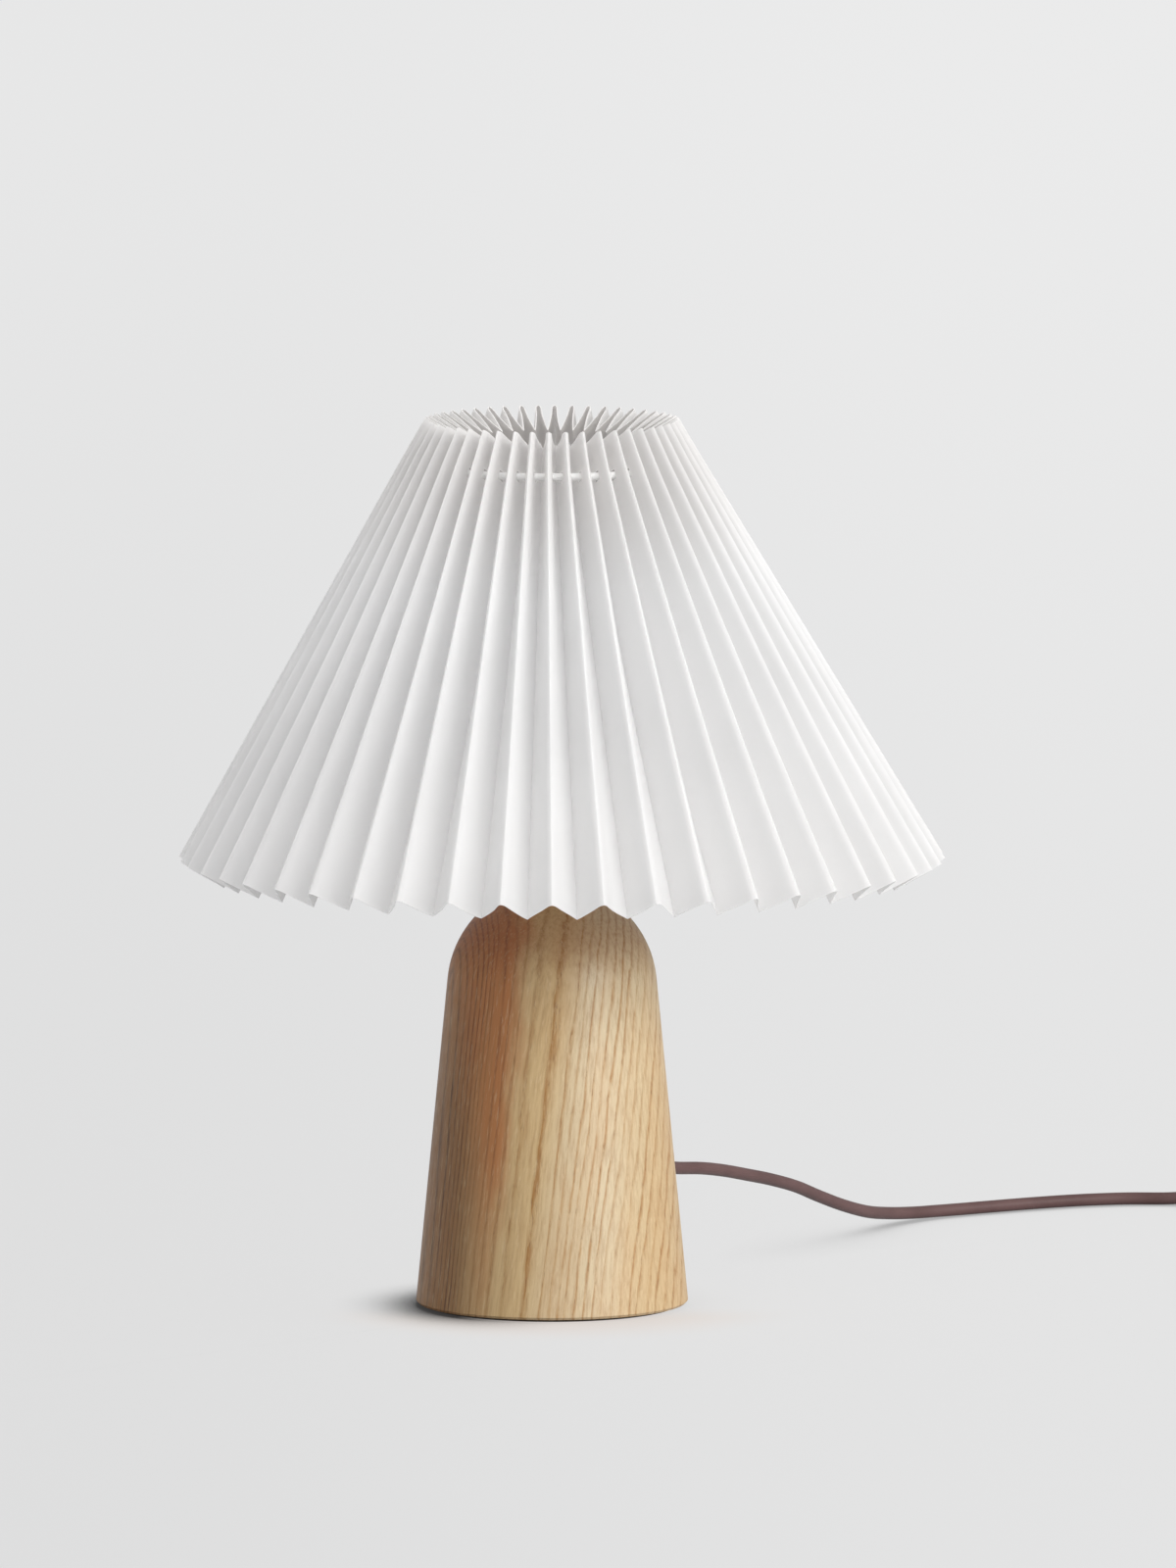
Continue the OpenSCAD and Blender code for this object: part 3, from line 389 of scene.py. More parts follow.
# %% Cut the holes, close the ring and give the sheet its thickness
HOLE_COLUMN, HOLE_ROW = 4, 3
bpy.ops.object.mode_set(mode="EDIT")
bpy.ops.mesh.select_all(action="DESELECT")
bpy.ops.object.mode_set(mode="OBJECT")
cells = 2 * PLEATS * len(ACROSS)
holes = 0
for face in shade.data.polygons:
    row_from_hem, column = divmod(face.index, cells)
    if column % len(ACROSS) == HOLE_COLUMN and len(ROWS) - 2 - row_from_hem == HOLE_ROW:
        face.select = True
        holes += 1
bpy.ops.object.mode_set(mode="EDIT")
bpy.ops.mesh.delete(type="FACE")
bpy.ops.mesh.select_all(action="SELECT")
bpy.ops.mesh.remove_doubles(threshold=0.00001)
bpy.ops.mesh.normals_make_consistent(inside=False)
bpy.ops.object.mode_set(mode="OBJECT")
thickness = shade.modifiers.new("sheet", "SOLIDIFY")
thickness.thickness = SHEET_T / 1000
thickness.offset = 0
thickness.material_offset = 1
thickness.material_offset_rim = 0
bpy.ops.object.modifier_apply(modifier="sheet")
bpy.ops.object.shade_smooth_by_angle(angle=math.radians(30))
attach(shade, "shade")
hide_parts("shade_pleats")
print("holes:", holes, "faces:", len(shade.data.polygons))

# %% [markdown]
# ## The sheet's finish
# The sheet is white, matt and a little see-through: light that falls on its right side glows through on
# the left. A Translucent shader carries that light, mixed with the plain white surface. A faint fibre
# pattern breaks up the surface. The inner face gets a finish of its own, dimmed all over as painted shade
# inside the cone, and both faces are dimmed and warmed near the mouth as painted shade in the tight folds.
# One finish for both faces would be simpler, but light would then bounce about inside the pleats until
# their depth was gone.

# %% Finish of the pleated sheet
MOUTH_SHADE_ZONE = (285, 345)
GLOW_SHARE = 0.55


def sheet_finish(name, deep, light, tone, mouth_shade_tone):
    """White stiff sheet. `tone` and the mouth's tone dim it as painted shade: all over, and near the mouth.
    """
    finish = Finish(name, roughness=0.6)
    fibres = finish.noise(finish.stretch(finish.place, (1.2, 1.2, 0.5)), 1.0, 4, 0.6)
    clouds = finish.noise(finish.place, 0.02, 2)
    white = finish.blend(finish.ease(clouds, 0.3, 0.7), deep, light)
    white = finish.blend(finish.ease(fibres, 0.3, 0.7, 0.0, 0.04), white, colour(232, 232, 232))
    # painted shade near the mouth, where the pleats are tight and deep
    mouth_shade_mask = finish.ease(finish.along((0, 0, 1)), *MOUTH_SHADE_ZONE)
    white = finish.blend(1.0, white, finish.blend(mouth_shade_mask, (1, 1, 1, 1), mouth_shade_tone), "MULTIPLY")
    finish.paint(finish.blend(1.0, white, tone, "MULTIPLY"))
    finish.relief(fibres, 0.02)
    glow = finish.add("ShaderNodeBsdfTranslucent", {"Color": white})
    both = finish.add("ShaderNodeMixShader", {0: GLOW_SHARE, 1: finish.shader.outputs[0], 2: glow.outputs[0]})
    finish.join(both.outputs[0], finish.output.inputs[0])
    return finish


outside = sheet_finish("pleated_white_sheet", colour(251, 251, 251), colour(253, 253, 253),
                       tone=(1, 1, 1, 1), mouth_shade_tone=(0.995, 0.99, 0.985, 1))
# the inner face is dimmed all over as painted shade for the inside of the cone, and more near the mouth
inside = sheet_finish("pleated_sheet_inside_painted_shade", colour(246, 246, 246), colour(249, 249, 249),
                      tone=(0.38, 0.38, 0.378, 1), mouth_shade_tone=(0.82, 0.80, 0.785, 1))
shade.data.materials[0] = outside.material
shade.data.materials[1] = inside.material
print("faces outside and inside:", [sum(f.material_index == k for f in shade.data.polygons) for k in (0, 1)])

# %% [markdown]
# ## The wooden base
# The base is turned from one block of ash. Ash has clear growth rings: a narrow band of open pores, then
# dense pale wood. The rings are cylinders round the tree's pith, which lay to the left of the block and
# leaned a little, so the front shows them as upright lines: narrow and brown at the far left, in the
# heartwood, then wide and pale, and narrow again on the right. A picture of wood could be wrapped round, but
# the end grain on the dome would be wrong. A solid pattern, worked out from the distance to the pith, is
# right on every side. The distance wanders a little, because no trunk is quite round.

# %% Finish of the wood: the distance to the pith
PITH_X, PITH_Y, PITH_LEAN = -126.3, -30, 0.098
wood = Finish("ash_wood", roughness=0.45)
height = wood.along((0, 0, 1))
from_pith_x = wood.sum("SUBTRACT", wood.along((1, 0, -PITH_LEAN)), PITH_X)
from_pith_y = wood.sum("SUBTRACT", wood.along((0, 1, 0)), PITH_Y)
across = wood.add("ShaderNodeCombineXYZ", {0: from_pith_x, 1: from_pith_y}).outputs[0]
radius = wood.add("ShaderNodeVectorMath", {0: across}, operation="LENGTH").outputs["Value"]
wander = wood.noise(wood.stretch(wood.place, (0.014, 0.014, 0.011)), 1.0, 1)
radius = wood.sum("ADD", radius, wood.ease(wander, 0.2, 0.8, -0.9, 0.9))
print("pith at the foot:", (PITH_X, PITH_Y), "mm, leaning right by", PITH_LEAN, "mm a mm")

# %% [markdown]
# The tree's age at each place is the distance to the pith divided by the width of a ring. The tree had dry
# and wet years, so that width changes at a few distances, and the years of each stretch are added up. At
# the far left an extra year is added every 3 mm, so the rings are narrowest there. The fraction of the age
# is the season. It draws the lines: strongest where a year begins, and fading from there. A random number
# for each year makes some lines weaker than others.

# %% Finish of the wood: the growth rings
EARLY_EDGE, STREAK_EDGE, SLOW_AT = 91, 103.4, 123.4
EARLY_RING, LEFT_RING, WET_RING, SLOW_RING = 3.0, 3.9, 7.9, 3.35
AGE_AT_STREAK = 100.468
left_of_streak = wood.sum("MINIMUM", wood.sum("SUBTRACT", radius, STREAK_EDGE), 0.0)
left_years = wood.sum("DIVIDE", left_of_streak, LEFT_RING)
early = wood.sum("MINIMUM", wood.sum("SUBTRACT", radius, EARLY_EDGE), 0.0)
left_years = wood.sum("ADD", left_years, wood.sum("DIVIDE", early, EARLY_RING))
right_of_streak = wood.sum("MAXIMUM", wood.sum("SUBTRACT", radius, STREAK_EDGE), 0.0)
wet_years = wood.sum("DIVIDE", wood.sum("MINIMUM", right_of_streak, SLOW_AT - STREAK_EDGE), WET_RING)
slow_years = wood.sum("DIVIDE", wood.sum("MAXIMUM", wood.sum("SUBTRACT", radius, SLOW_AT), 0.0), SLOW_RING)
ripple = wood.noise(wood.stretch(across, (0.12, 0.12, 0.12)), 1.0, 2)
fray = wood.noise(wood.stretch(wood.place, (0.5, 0.5, 0.03)), 1.0, 2)
age = wood.sum("ADD", wood.sum("ADD", left_years, wet_years), slow_years)
age = wood.sum("ADD", age, AGE_AT_STREAK)
age = wood.sum("ADD", age, wood.ease(ripple, 0.2, 0.8, -0.2, 0.2))
age = wood.sum("ADD", age, wood.ease(fray, 0.2, 0.8, -0.06, 0.06))
season = wood.sum("FRACT", age)
luck = wood.add("ShaderNodeTexWhiteNoise", {"W": wood.sum("FLOOR", age)}, noise_dimensions="1D").outputs[0]
ring = wood.sum("MAXIMUM", wood.ease(season, 0.0, 0.34, 1.0, 0.0), wood.ease(season, 0.82, 1.0))
ring = wood.sum("MULTIPLY", ring, wood.ease(luck, 0, 1, 0.45, 1.0))
early_width = 1 / (1 / EARLY_RING + 1 / LEFT_RING)
print("ring widths from left to right:", [round(early_width, 2), LEFT_RING, WET_RING, SLOW_RING], "mm")

# %% [markdown]
# A real line is broken by pores and gaps, and the wood between two lines has fibres and pale flecks. A
# drawn texture could show them, but it would be smeared on the dome. They are noises here, stretched along
# the grain, with a scale of their own in each direction.

# %% Finish of the wood: pores, gaps and fibres
along_grain = wood.add("ShaderNodeCombineXYZ", {0: from_pith_x, 1: from_pith_y, 2: height}).outputs[0]
pores = wood.noise(wood.stretch(along_grain, (1.6, 1.6, 0.2)), 1.0, 2, 0.6)
dashes = wood.sum("MULTIPLY", wood.ease(pores, 0.53, 0.69), wood.sum("ADD", ring, 0.08), clamp=True)
gaps = wood.noise(wood.stretch(along_grain, (0.55, 0.55, 0.07)), 1.0, 3, 0.6)
ring = wood.sum("MULTIPLY", ring, wood.ease(gaps, 0.36, 0.56, 0.5, 1.1), clamp=True)
fibres = wood.noise(wood.stretch(along_grain, (0.7, 0.7, 0.012)), 1.0, 5, 0.7)
flecks = wood.noise(wood.stretch(along_grain, (1.3, 1.3, 0.11)), 1.0, 3, 0.65)
patches = wood.noise(wood.stretch(along_grain, (0.07, 0.07, 0.012)), 1.0, 2)
print("nodes so far:", len(wood.tree.nodes))

# %% [markdown]
# The heartwood is an orange-brown zone with a drifting edge. It is stronger and reaches further left near
# the dome. `dusk` is the dull brown wood to the left of it, and `gold` the warmer wood at the far right.
# Each zone is a range of distances to the pith that is eased in and out.

# %% Finish of the wood: heartwood and the other zones
HEART_START, HEART_SLOPE = 100.5, 0.17
heart_start = wood.sum("MULTIPLY_ADD", height, -HEART_SLOPE, HEART_START)
into_heart = wood.sum("SUBTRACT", radius, heart_start)
drift = wood.noise(wood.stretch(wood.place, (0.09, 0.09, 0.022)), 1.0, 3, 0.6)
heart_edge = wood.sum("ADD", radius, wood.ease(drift, 0.25, 0.75, -3.0, 3.0))
heart = wood.sum("MULTIPLY", wood.ease(into_heart, -9, 7), wood.ease(heart_edge, 95.5, 107, 1, 0))
heart = wood.sum("MULTIPLY", heart, wood.ease(height, 5, 80, 0.6, 1.0))
dusk = wood.ease(radius, 82, 101, 1, 0)
gold = wood.ease(radius, 140, 165)
near_heart = wood.ease(radius, 112, 130, 1, 0)
# the dome: darker end grain, and painted shade under the shade's hem
end_grain_and_shade = wood.ease(height, 128, 151, 0.0, 1.0)
print("heartwood from", HEART_START, "mm at the foot")

# %% [markdown]
# Last come the colours. Each zone has a colour between its lines and one on them, and the zones are laid
# over one another. The dome is end grain, which drinks more oil and is darker, and it is darkened further
# as painted shade where the shade hangs over it.

# %% Finish of the wood: colours
pale = wood.blend(gold, colour(217, 198, 163), colour(213, 188, 147))
pale = wood.blend(near_heart, pale, colour(215, 186, 138))
line = wood.blend(gold, colour(182, 141, 93), colour(180, 138, 90))
line = wood.blend(near_heart, line, colour(170, 124, 68))
bare = wood.blend(ring, pale, line)
brown = wood.blend(ring, colour(192, 126, 76), colour(136, 78, 42))
dim = wood.blend(ring, colour(166, 120, 76), colour(94, 66, 42))
grain = wood.blend(dusk, bare, dim)
grain = wood.blend(heart, grain, brown)
grain = wood.blend(wood.ease(fibres, 0.4, 0.72, 0.0, 0.42), grain, colour(160, 114, 70))
grain = wood.blend(wood.ease(patches, 0.4, 0.7, 0.0, 0.2), grain, colour(206, 158, 104))
grain = wood.blend(wood.ease(flecks, 0.52, 0.72, 0.0, 0.3), grain, colour(236, 214, 174))
grain = wood.blend(wood.sum("MULTIPLY", dashes, 0.4), grain, colour(112, 76, 48))
# the dome is darker: end grain, and painted shade under the shade
grain = wood.blend(end_grain_and_shade, grain, wood.blend(1.0, grain, (0.7, 0.585, 0.5, 1), "MULTIPLY"))
wood.paint(grain, wood.ease(pores, 0.4, 0.7, 0.42, 0.6))
wood.relief(wood.sum("SUBTRACT", 1.0, dashes), 0.05)
dress(wood, "base_body")

# %% [markdown]
# ## The felt under the foot
# A disc of pressed felt keeps the wood off the table. It shows only as a thin dark line, but from below it
# is the whole underside. A flat image could stand for it, but the line would then have no thickness. So a
# cylinder is started at its size, insets lay rings on its two faces, and a bevel rounds its rim.

# %% Model the felt pad
PAD_T = 2.2
PAD_R = 49.2
PAD_INSETS = (1.2, 12, 16)
bpy.ops.object.select_all(action="DESELECT")
bpy.ops.mesh.primitive_cylinder_add(vertices=96, radius=PAD_R / 1000, depth=PAD_T / 1000,
                                    location=(0, 0, PAD_T / 2000), end_fill_type="NGON")
felt_pad = bpy.context.object
felt_pad.name = felt_pad.data.name = "felt_pad"
bpy.ops.object.transform_apply(location=True, rotation=False, scale=False)
bpy.ops.object.mode_set(mode="EDIT")
bpy.ops.mesh.select_mode(type="FACE")
bpy.ops.mesh.select_all(action="DESELECT")
bpy.ops.object.mode_set(mode="OBJECT")
for face in felt_pad.data.polygons:
    face.select = abs(face.normal.z) > 0.9
bpy.ops.object.mode_set(mode="EDIT")
for inset in PAD_INSETS:
    bpy.ops.mesh.inset(thickness=inset / 1000, depth=0.0)
bpy.ops.object.mode_set(mode="OBJECT")
rim = felt_pad.modifiers.new("rim", "BEVEL")
rim.width = 0.0004
rim.segments = 3
rim.limit_method = "ANGLE"
bpy.ops.object.modifier_apply(modifier="rim")
bpy.ops.object.shade_smooth_by_angle(angle=math.radians(40))
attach(felt_pad, "lamp")
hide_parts("base_pad")
print("felt pad:", len(felt_pad.data.polygons), "faces")

# %% [markdown]
# Felt is a mat of pressed hairs. Modelled hairs would be too fine to see, so two noises stand for them: a
# fine one for the hairs and a coarse one for the clumps, as deep relief, with a sheen where light grazes.

# %% Finish of the felt
felt = Finish("pressed_felt", roughness=0.95)
hairs = felt.noise(felt.place, 1.6, 5, 0.7)
clumps = felt.noise(felt.place, 0.25, 3)
felt.paint(felt.blend(felt.ease(hairs, 0.3, 0.7), colour(66, 58, 52), colour(94, 84, 76)))
felt.relief(felt.sum("ADD", hairs, clumps), 0.25)
felt.shader.inputs["Sheen Weight"].default_value = 0.3
felt.shader.inputs["Sheen Roughness"].default_value = 0.7
dress(felt, felt_pad)

# %% [markdown]
# ## The strap round the coil
# A narrow woven strap holds the coil. It is a band bent round the coil's section. A curve could be swept
# along that section, but a box is already the right size: its two open ends are deleted, a bevel rounds
# its corners, and Solidify gives the webbing its thickness.

# %% Model the strap
STRAP_BEND_R, STRAP_T, STRAP_EDGE = 3.5, 0.8, 0.2
strap_low, strap_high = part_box("coil_tie")
strap_size = strap_high - strap_low
bpy.ops.object.select_all(action="DESELECT")
bpy.ops.mesh.primitive_cube_add(size=1, location=(strap_low + strap_high) / 2, scale=strap_size)
strap = bpy.context.object
strap.name = strap.data.name = "coil_strap"
bpy.ops.object.transform_apply(location=True, rotation=False, scale=True)
bpy.ops.object.mode_set(mode="EDIT")
bpy.ops.mesh.select_all(action="DESELECT")
bpy.ops.object.mode_set(mode="OBJECT")
for face in strap.data.polygons:
    face.select = abs(face.normal.y) > 0.9
bpy.ops.object.mode_set(mode="EDIT")
bpy.ops.mesh.delete(type="FACE")
bpy.ops.mesh.select_mode(type="EDGE")
bpy.ops.mesh.select_all(action="DESELECT")
bpy.ops.object.mode_set(mode="OBJECT")
for edge in strap.data.edges:
    a, b = (strap.data.vertices[i].co for i in edge.vertices)
    edge.select = abs(a.y - b.y) > 0.001
bpy.ops.object.mode_set(mode="EDIT")
bpy.ops.mesh.bevel(offset=STRAP_BEND_R / 1000, segments=6)
bpy.ops.mesh.select_all(action="SELECT")
bpy.ops.mesh.normals_make_consistent(inside=False)
bpy.ops.object.mode_set(mode="OBJECT")
webbing = strap.modifiers.new("webbing", "SOLIDIFY")
webbing.thickness = STRAP_T / 1000
webbing.offset = -1
bpy.ops.object.modifier_apply(modifier="webbing")
soften = strap.modifiers.new("soften", "BEVEL")
soften.width = STRAP_EDGE / 1000
soften.segments = 2
soften.limit_method = "ANGLE"
soften.angle_limit = math.radians(50)
bpy.ops.object.modifier_apply(modifier="soften")
bpy.ops.object.shade_smooth_by_angle(angle=math.radians(40))
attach(strap, "lamp")
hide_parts("coil_tie")
print("strap:", round(2000 * (strap_size.x + strap_size.z)), "mm long,", len(strap.data.polygons), "faces")

# %% [markdown]
# Webbing is woven from dark threads that cross. Two wave patterns across each other give the threads'
# crossings, which stand up and are painted lighter as a painted highlight. Modelled threads would need a
# thousand times the faces.

# %% Finish of the strap
weave = Finish("woven_strap", roughness=0.85)
warp = weave.add("ShaderNodeTexWave", {"Vector": weave.place, "Scale": 0.55}, wave_type="BANDS",
                 bands_direction="Y").outputs[1]
weft = weave.add("ShaderNodeTexWave", {"Vector": weave.place, "Scale": 0.4}, wave_type="BANDS",
                 bands_direction="X").outputs[1]
weave_and_highlight = weave.sum("MULTIPLY", warp, weft)
# the raised crossings are painted lighter, as a painted highlight on the threads
weave.paint(weave.blend(weave_and_highlight, colour(40, 38, 37), colour(66, 63, 61)))
weave.relief(weave_and_highlight, 0.12)
weave.shader.inputs["Sheen Weight"].default_value = 0.2
dress(weave, strap)

# %% [markdown]
# ## Painted wire
# The ring through the pleats, the three arms and the flat ring on the lampholder are steel wire and sheet,
# powder coated white. Powder coat has a faint orange-peel skin, which a small noise bump gives. A plain
# white would make the wire look like plastic.

# %% Finish of the painted wire
powder = Finish("white_powder_coat", roughness=0.4)
peel = powder.noise(powder.place, 0.9, 2)
powder.paint(powder.blend(powder.ease(peel, 0.3, 0.7), colour(236, 236, 235), colour(243, 243, 242)),
             powder.ease(peel, 0.3, 0.7, 0.34, 0.46))
powder.relief(peel, 0.03)
dress(powder, "carrier_ring", "carrier_arms", "fitter_ring")

# %% [markdown]
# ## Lampholder plastics and ceramic
# The holder's cap, sleeve, collar nut and cord grip are glossy white mouldings. A moulding is never quite
# flat, so a broad noise moves its gloss and its relief a little.

# %% Finish of the white mouldings
moulding = Finish("white_moulding", roughness=0.3)
flow = moulding.noise(moulding.place, 0.08, 3)
moulding.paint(moulding.blend(moulding.ease(flow, 0.3, 0.7), colour(228, 228, 225), colour(238, 238, 235)),
               moulding.ease(flow, 0.3, 0.7, 0.26, 0.36))
moulding.relief(flow, 0.05)
dress(moulding, "holder_cap", "holder_sleeve", "collar_nut", "cord_grip")

# %% [markdown]
# The terminal block is unglazed ceramic, which is dull and grainy. The same recipe gives it, with a finer
# and rougher noise.

# %% Finish of the ceramic block
ceramic = Finish("unglazed_ceramic", roughness=0.75)
speckle = ceramic.noise(ceramic.place, 2.5, 4, 0.65)
ceramic.paint(ceramic.blend(ceramic.ease(speckle, 0.35, 0.65), colour(225, 220, 206), colour(238, 234, 224)))
ceramic.relief(speckle, 0.06)
dress(ceramic, "terminal_block")

# %% [markdown]
# ## Metals
# Zinc plated steel is bluish grey, brass is warm and slightly tarnished, and the bulb's cap and the plug's
# pins are nickel plated. All three are made alike, so one helper makes them: a broad noise blends the
# bright metal with the dull, and a noise stretched across the piece gives the fine lines of its turning.

# %% Finish of the metals
def metal(name, bright, dull, roughness, grain_scale):
    """Metal with tarnish and with fine lines, which are stretched by `grain_scale`."""
    finish = Finish(name, roughness=roughness, metallic=1.0)
    tarnish = finish.noise(finish.place, 0.12, 4)
    lines = finish.noise(finish.stretch(finish.place, grain_scale), 1.0, 2)
    finish.paint(finish.blend(finish.ease(tarnish, 0.3, 0.75), bright, dull),
                 finish.ease(lines, 0.2, 0.8, roughness - 0.07, roughness + 0.1))
    finish.relief(lines, 0.012)
    return finish


zinc = metal("zinc_plate", colour(214, 215, 216), colour(186, 188, 190), 0.38, (3, 3, 3))
brass = metal("brass", colour(216, 178, 104), colour(184, 146, 82), 0.35, (2, 2, 9))
nickel = metal("nickel_plate", colour(222, 220, 215), colour(200, 197, 190), 0.24, (1, 1, 12))
dress(zinc, "threaded_tube", "tube_nut", "tube_washer", "grip_screws", "cap_locknut", "terminal_screws",
      "rocker_pin", "switch_screws")
dress(brass, "terminal_posts", "screw_shell", "centre_contact", "switch_contacts", "contact_blade")
dress(nickel, "bulb_tip", "bulb_cap", "plug_pins")

# %% [markdown]
# ## The bulb
# A household LED bulb: an opal globe that scatters the light of its chips, a white plastic body, a nickel
# cap, and a ring of black glass between the cap and its tip. The lamp is off, so the globe is only a satin
# milky shell. Light that enters it comes out close by, which Subsurface gives. Clear glass round a white
# shell would do the same with more work.

# %% Finish of the globe
opal = Finish("opal_globe", roughness=0.3)
milk = opal.noise(opal.place, 0.04, 2)
opal.paint(opal.blend(opal.ease(milk, 0.3, 0.7), colour(240, 238, 230), colour(246, 245, 240)),
           opal.ease(milk, 0.3, 0.7, 0.26, 0.34))
opal.shader.inputs["Subsurface Weight"].default_value = 0.3
opal.shader.inputs["Subsurface Radius"].default_value = (0.004, 0.0035, 0.003)
opal.shader.inputs["Subsurface Scale"].default_value = 1.0
dress(opal, "bulb_globe")

# %% Finish of the bulb's body and of its black glass
body_plastic = Finish("bulb_body_plastic", roughness=0.45)
body_grain = body_plastic.noise(body_plastic.place, 2.0, 3)
body_plastic.paint(body_plastic.blend(body_grain, colour(232, 232, 229), colour(240, 240, 238)))
body_plastic.relief(body_grain, 0.02)
dress(body_plastic, "bulb_body")

glass = Finish("black_glass", roughness=0.12)
swirl = glass.noise(glass.place, 0.5, 2)
glass.paint(glass.blend(swirl, colour(26, 25, 27), colour(40, 38, 42)), glass.ease(swirl, 0, 1, 0.08, 0.18))
dress(glass, "bulb_insulator")

# %% [markdown]
# ## Switch, plug and strain relief
# These are moulded in the same taupe as the cord. The mould was eroded by sparks, which leaves a fine grain
# and makes them matt: a fine noise gives both. The rocker is darker and smoother, so the thumb finds it.

# %% Finish of the taupe mouldings
taupe = Finish("taupe_moulding", roughness=0.5)
spark = taupe.noise(taupe.place, 4.0, 3, 0.6)
shift = taupe.noise(taupe.place, 0.04, 2)
taupe.paint(taupe.blend(taupe.ease(shift, 0.3, 0.7), colour(100, 76, 74), colour(108, 83, 81)),
            taupe.ease(spark, 0.3, 0.7, 0.44, 0.6))
taupe.relief(spark, 0.04)
taupe.shader.inputs["Specular IOR Level"].default_value = 0.2
dress(taupe, "cord_bush", "switch_base", "switch_cover", "plug_body")

dark = Finish("dark_moulding", roughness=0.35)
dark_grain = dark.noise(dark.place, 2.0, 2)
dark.paint(dark.blend(dark_grain, colour(76, 57, 56), colour(86, 66, 64)),
           dark.ease(dark_grain, 0.3, 0.7, 0.3, 0.42))
dark.relief(dark_grain, 0.015)
dark.shader.inputs["Specular IOR Level"].default_value = 0.25
dress(dark, "switch_rocker", "pin_sleeves")

# %% [markdown]
# ## The two cores
# Inside the lampholder the cord's sheath ends, and its two cores run on to their screws: brown is live and
# blue is neutral. They differ only in colour, so one helper makes both.

# %% Finish of the two cores
def core_finish(name, deep, light):
    """Smooth soft plastic round a core."""
    finish = Finish(name, roughness=0.4)
    skin = finish.noise(finish.place, 1.2, 2)
    finish.paint(finish.blend(skin, deep, light), finish.ease(skin, 0.3, 0.7, 0.35, 0.5))
    finish.relief(skin, 0.02)
    return finish


dress(core_finish("live_core", colour(140, 92, 58), colour(154, 104, 66)), "live_wire")
dress(core_finish("neutral_core", colour(70, 118, 182), colour(84, 132, 196)), "neutral_wire")

# %% [markdown]
# ## The table
# The picture's background is one even, pale grey from edge to edge, a little lighter at the back and on the
# right, with a tight soft shadow where the foot meets the table. So the table is a very large plane, a
# tenth of a millimetre below the felt. What the camera sees of it is mostly its own pale tone, with a painted
# shadow where something stands close, mainly on the left, and a painted warm glow of light bounced from the
# wood in front. To all other light it is a plain matt surface.

# %% Make the table
TABLE_SIZE, TABLE_Z = 120, -0.0001
bpy.ops.object.select_all(action="DESELECT")
bpy.ops.mesh.primitive_plane_add(size=TABLE_SIZE, location=(0, 0, TABLE_Z))
table_top = bpy.context.object
table_top.name = "table_top"
table_top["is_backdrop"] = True
print("table:", TABLE_SIZE, "m across")

# %% [markdown]
# The tone is a blend of four greys: near and far, left and right. How close something stands is what
# Ambient Occlusion measures, over 35 mm here, and the shadow at the foot is made of it.

# %% Finish of the table: its tone and the shadow at the foot
SHADOW_REACH = 0.035
tabletop = Finish("pale_table", roughness=0.9)
far_tone = tabletop.ease(tabletop.along((0, 1, 0)), -800, 5400)
left_tone = tabletop.blend(far_tone, colour(232, 232, 232), colour(242, 242, 242))
right_tone = tabletop.blend(far_tone, colour(238, 238, 238), colour(246, 246, 246))
tone = tabletop.blend(tabletop.ease(tabletop.along((1, 0, 0)), -230, 250), left_tone, right_tone)
tabletop.paint(colour(226, 227, 229))
tabletop.shader.inputs["Specular IOR Level"].default_value = 0.0
occlusion = tabletop.add("ShaderNodeAmbientOcclusion", {"Distance": SHADOW_REACH, "Color": (1, 1, 1, 1)},
                         samples=12)
closeness = tabletop.ease(occlusion.outputs["AO"], 0.45, 1.0, 1.0, 0.0)
left_side = tabletop.ease(tabletop.along((1, -0.2, 0)), -52, 20, 1.2, 0.06)
under_cord = tabletop.ease(tabletop.along((0, 1, 0)), 90, 150, 0.0, 0.45)
shaded_side = tabletop.sum("MAXIMUM", left_side, under_cord)
darkening = tabletop.sum("MINIMUM", tabletop.sum("MULTIPLY", closeness, shaded_side), 0.95)
contact = tabletop.sum("SUBTRACT", 1.0, darkening)
print("shadow reaches", round(1000 * SHADOW_REACH), "mm")

# %% [markdown]
# In front of the foot the table gets a painted warm glow, for light bounced off the wood. Then the two
# looks are put together: the tone for rays that come from the camera or a mirror, and the plain surface for
# the rest.

# %% Finish of the table: painted warm light from the wood, and both looks together
TONE_SHARE = 0.85
from_axis = tabletop.add("ShaderNodeVectorMath", {0: tabletop.stretch(tabletop.place, (1, 1, 0))},
                         operation="LENGTH").outputs["Value"]
# painted light bounced from the wood onto the table in front of the foot
wood_bounce_mask = tabletop.sum("MULTIPLY", tabletop.ease(from_axis, 52, 105, 1.0, 0.0),
                     tabletop.ease(tabletop.along((0, 1, 0)), -45, -5, 1.0, 0.0))
painted_wood_bounce = tabletop.blend(wood_bounce_mask, (1, 1, 1, 1), (1.0, 0.93, 0.88, 1))
shown = tabletop.add("ShaderNodeEmission", {"Color": tabletop.blend(1.0, tone, painted_wood_bounce, "MULTIPLY"),
                                            "Strength": contact})
path = tabletop.add("ShaderNodeLightPath")
seen = tabletop.sum("ADD", path.outputs["Is Camera Ray"], path.outputs["Is Glossy Ray"])
seen = tabletop.sum("ADD", seen, path.outputs["Is Transmission Ray"], clamp=True)
share = tabletop.sum("MULTIPLY", seen, TONE_SHARE)
both_looks = tabletop.add("ShaderNodeMixShader", {0: share, 1: tabletop.shader.outputs[0],
                                                  2: shown.outputs[0]})
tabletop.join(both_looks.outputs[0], tabletop.output.inputs[0])
dress(tabletop, table_top)

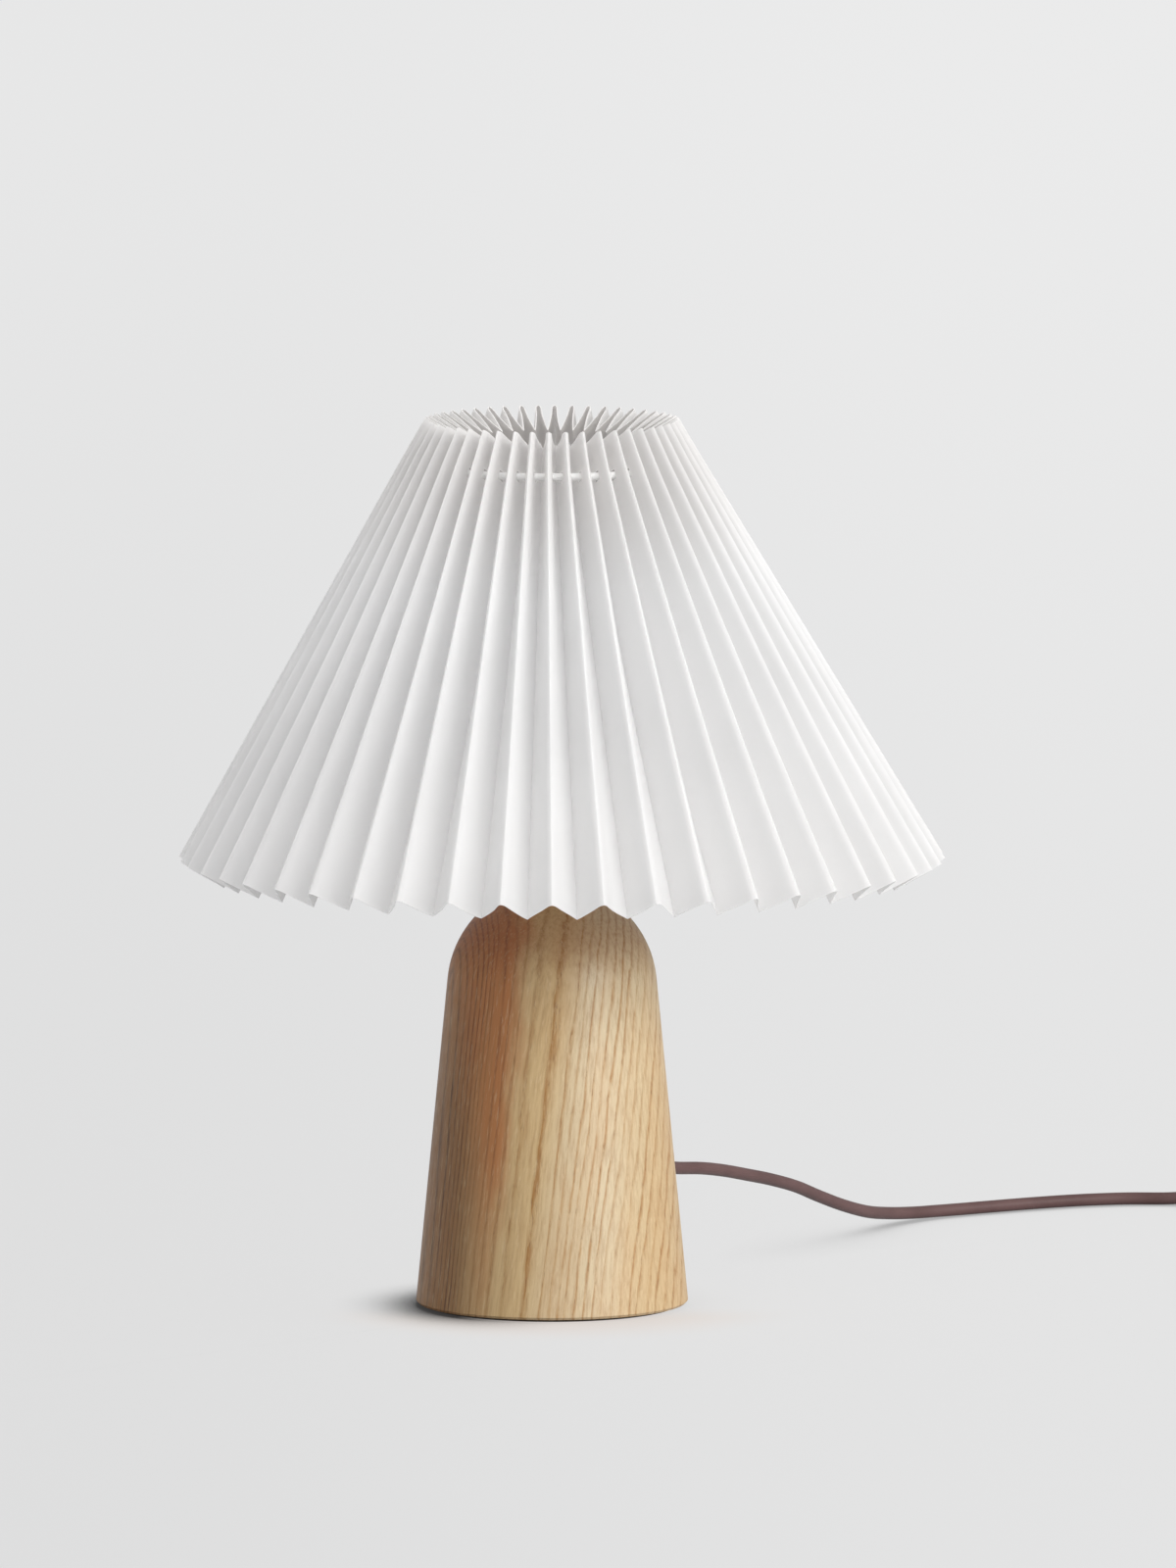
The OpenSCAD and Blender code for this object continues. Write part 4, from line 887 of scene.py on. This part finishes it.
# %% [markdown]
# A low view looks past the table's edge. A very large sphere gives it the table's pale tone to see. It is
# hidden from every other ray, so it changes nothing in the light.

# %% Make the backdrop
BACKDROP_R = 90
bpy.ops.object.select_all(action="DESELECT")
bpy.ops.mesh.primitive_uv_sphere_add(segments=48, ring_count=24, radius=BACKDROP_R)
backdrop = bpy.context.object
backdrop.name = "backdrop"
backdrop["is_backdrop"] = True
backdrop.visible_diffuse = backdrop.visible_glossy = backdrop.visible_transmission = False
backdrop.visible_volume_scatter = backdrop.visible_shadow = False

wall = Finish("pale_backdrop", roughness=0.9)
wall_tone = wall.add("ShaderNodeEmission", {"Color": colour(232, 233, 233), "Strength": 1.0})
wall.join(wall_tone.outputs[0], wall.output.inputs[0])
dress(wall, backdrop)

# %% [markdown]
# ## The light
# The picture was lit by one large soft window from the right, a little in front and low, with a pale room
# all round. A sun lamp with a wide angle gives that light evenly over the whole lamp, and the world gives
# the room. The suns are kept off the table, whose long shadow the picture does not have.
#
# The white sheet needs more care. In a real pleated shade light bounces between the folds many times, and a
# renderer stops after a few bounces, so the folds would come out too dark. The shade therefore has a window
# of its own, light from the sky and from the table, and two faint glows without shadows that stand for the
# lost bounces. Light linking says which pieces a sun lights, and which pieces can block it. An empty list
# of blockers means that everything blocks, so the glows get a list with one small hidden spring in it.

# %% Light the room
ROOM_STRENGTH = 0.4
world = bpy.data.worlds.new("pale_room")
bpy.context.scene.world = world
world.use_nodes = True
background = world.node_tree.nodes["Background"]
background.inputs["Color"].default_value = (1.0, 1.0, 1.0, 1)
background.inputs["Strength"].default_value = ROOM_STRENGTH
print("world:", world.name, ROOM_STRENGTH)

# %% Make a soft light
whole_lamp = bpy.data.collections.new("whole_lamp")
hidden_spring = bpy.data.collections.new("hidden_spring")
hidden_spring.objects.link(nodes["centre_contact"])
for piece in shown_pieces():
    whole_lamp.objects.link(piece)


def soft_light(name, strength, azimuth, elevation, spread, tint, pieces, shadows=True):
    """A wide, even light from an azimuth (0 is the front, 90 the right) and an elevation, on some pieces."""
    data = bpy.data.lights.new(name, "SUN")
    data.energy = strength
    data.angle = math.radians(spread)
    data.color = tint
    lamp = bpy.data.objects.new(name, data)
    bpy.context.scene.collection.objects.link(lamp)
    a, e = math.radians(azimuth), math.radians(elevation)
    towards = Vector((math.sin(a) * math.cos(e), -math.cos(a) * math.cos(e), math.sin(e)))
    lamp.rotation_euler = towards.to_track_quat("Z", "Y").to_euler()
    lit = bpy.data.collections.new(name + "_lights")
    for piece in pieces:
        lit.objects.link(piece)
    lamp.light_linking.receiver_collection = lit
    lamp.light_linking.blocker_collection = whole_lamp if shadows else hidden_spring


# %% Set up the lights: strength, azimuth, elevation and width in degrees, tint, and the pieces they light
white_pieces = [shade, nodes["carrier_ring"], nodes["carrier_arms"], nodes["fitter_ring"]]
other_pieces = [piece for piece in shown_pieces() if piece not in white_pieces]
soft_light("window", 2.5, 50, 22, 30, (1.0, 0.985, 0.96), other_pieces)
soft_light("window_on_shade", 2.2, 50, 25, 60, (1.0, 0.99, 0.98), white_pieces)
soft_light("sky_on_shade", 1.0, 0, 90, 175, (1.0, 1.0, 1.0), white_pieces)
soft_light("bounce_on_shade", 2.1, 0, -90, 175, (1.0, 1.0, 1.0), white_pieces)
soft_light("glow_from_above", 0.65, 0, 90, 175, (1.0, 0.99, 0.995), white_pieces, shadows=False)
soft_light("glow_from_below", 0.5, 0, -90, 175, (1.0, 0.99, 0.995), white_pieces, shadows=False)

# %% [markdown]
# ## The view
# The Standard view shows each tone as it is, as the picture does.

# %% Choose the view
bpy.context.scene.view_settings.view_transform = "Standard"
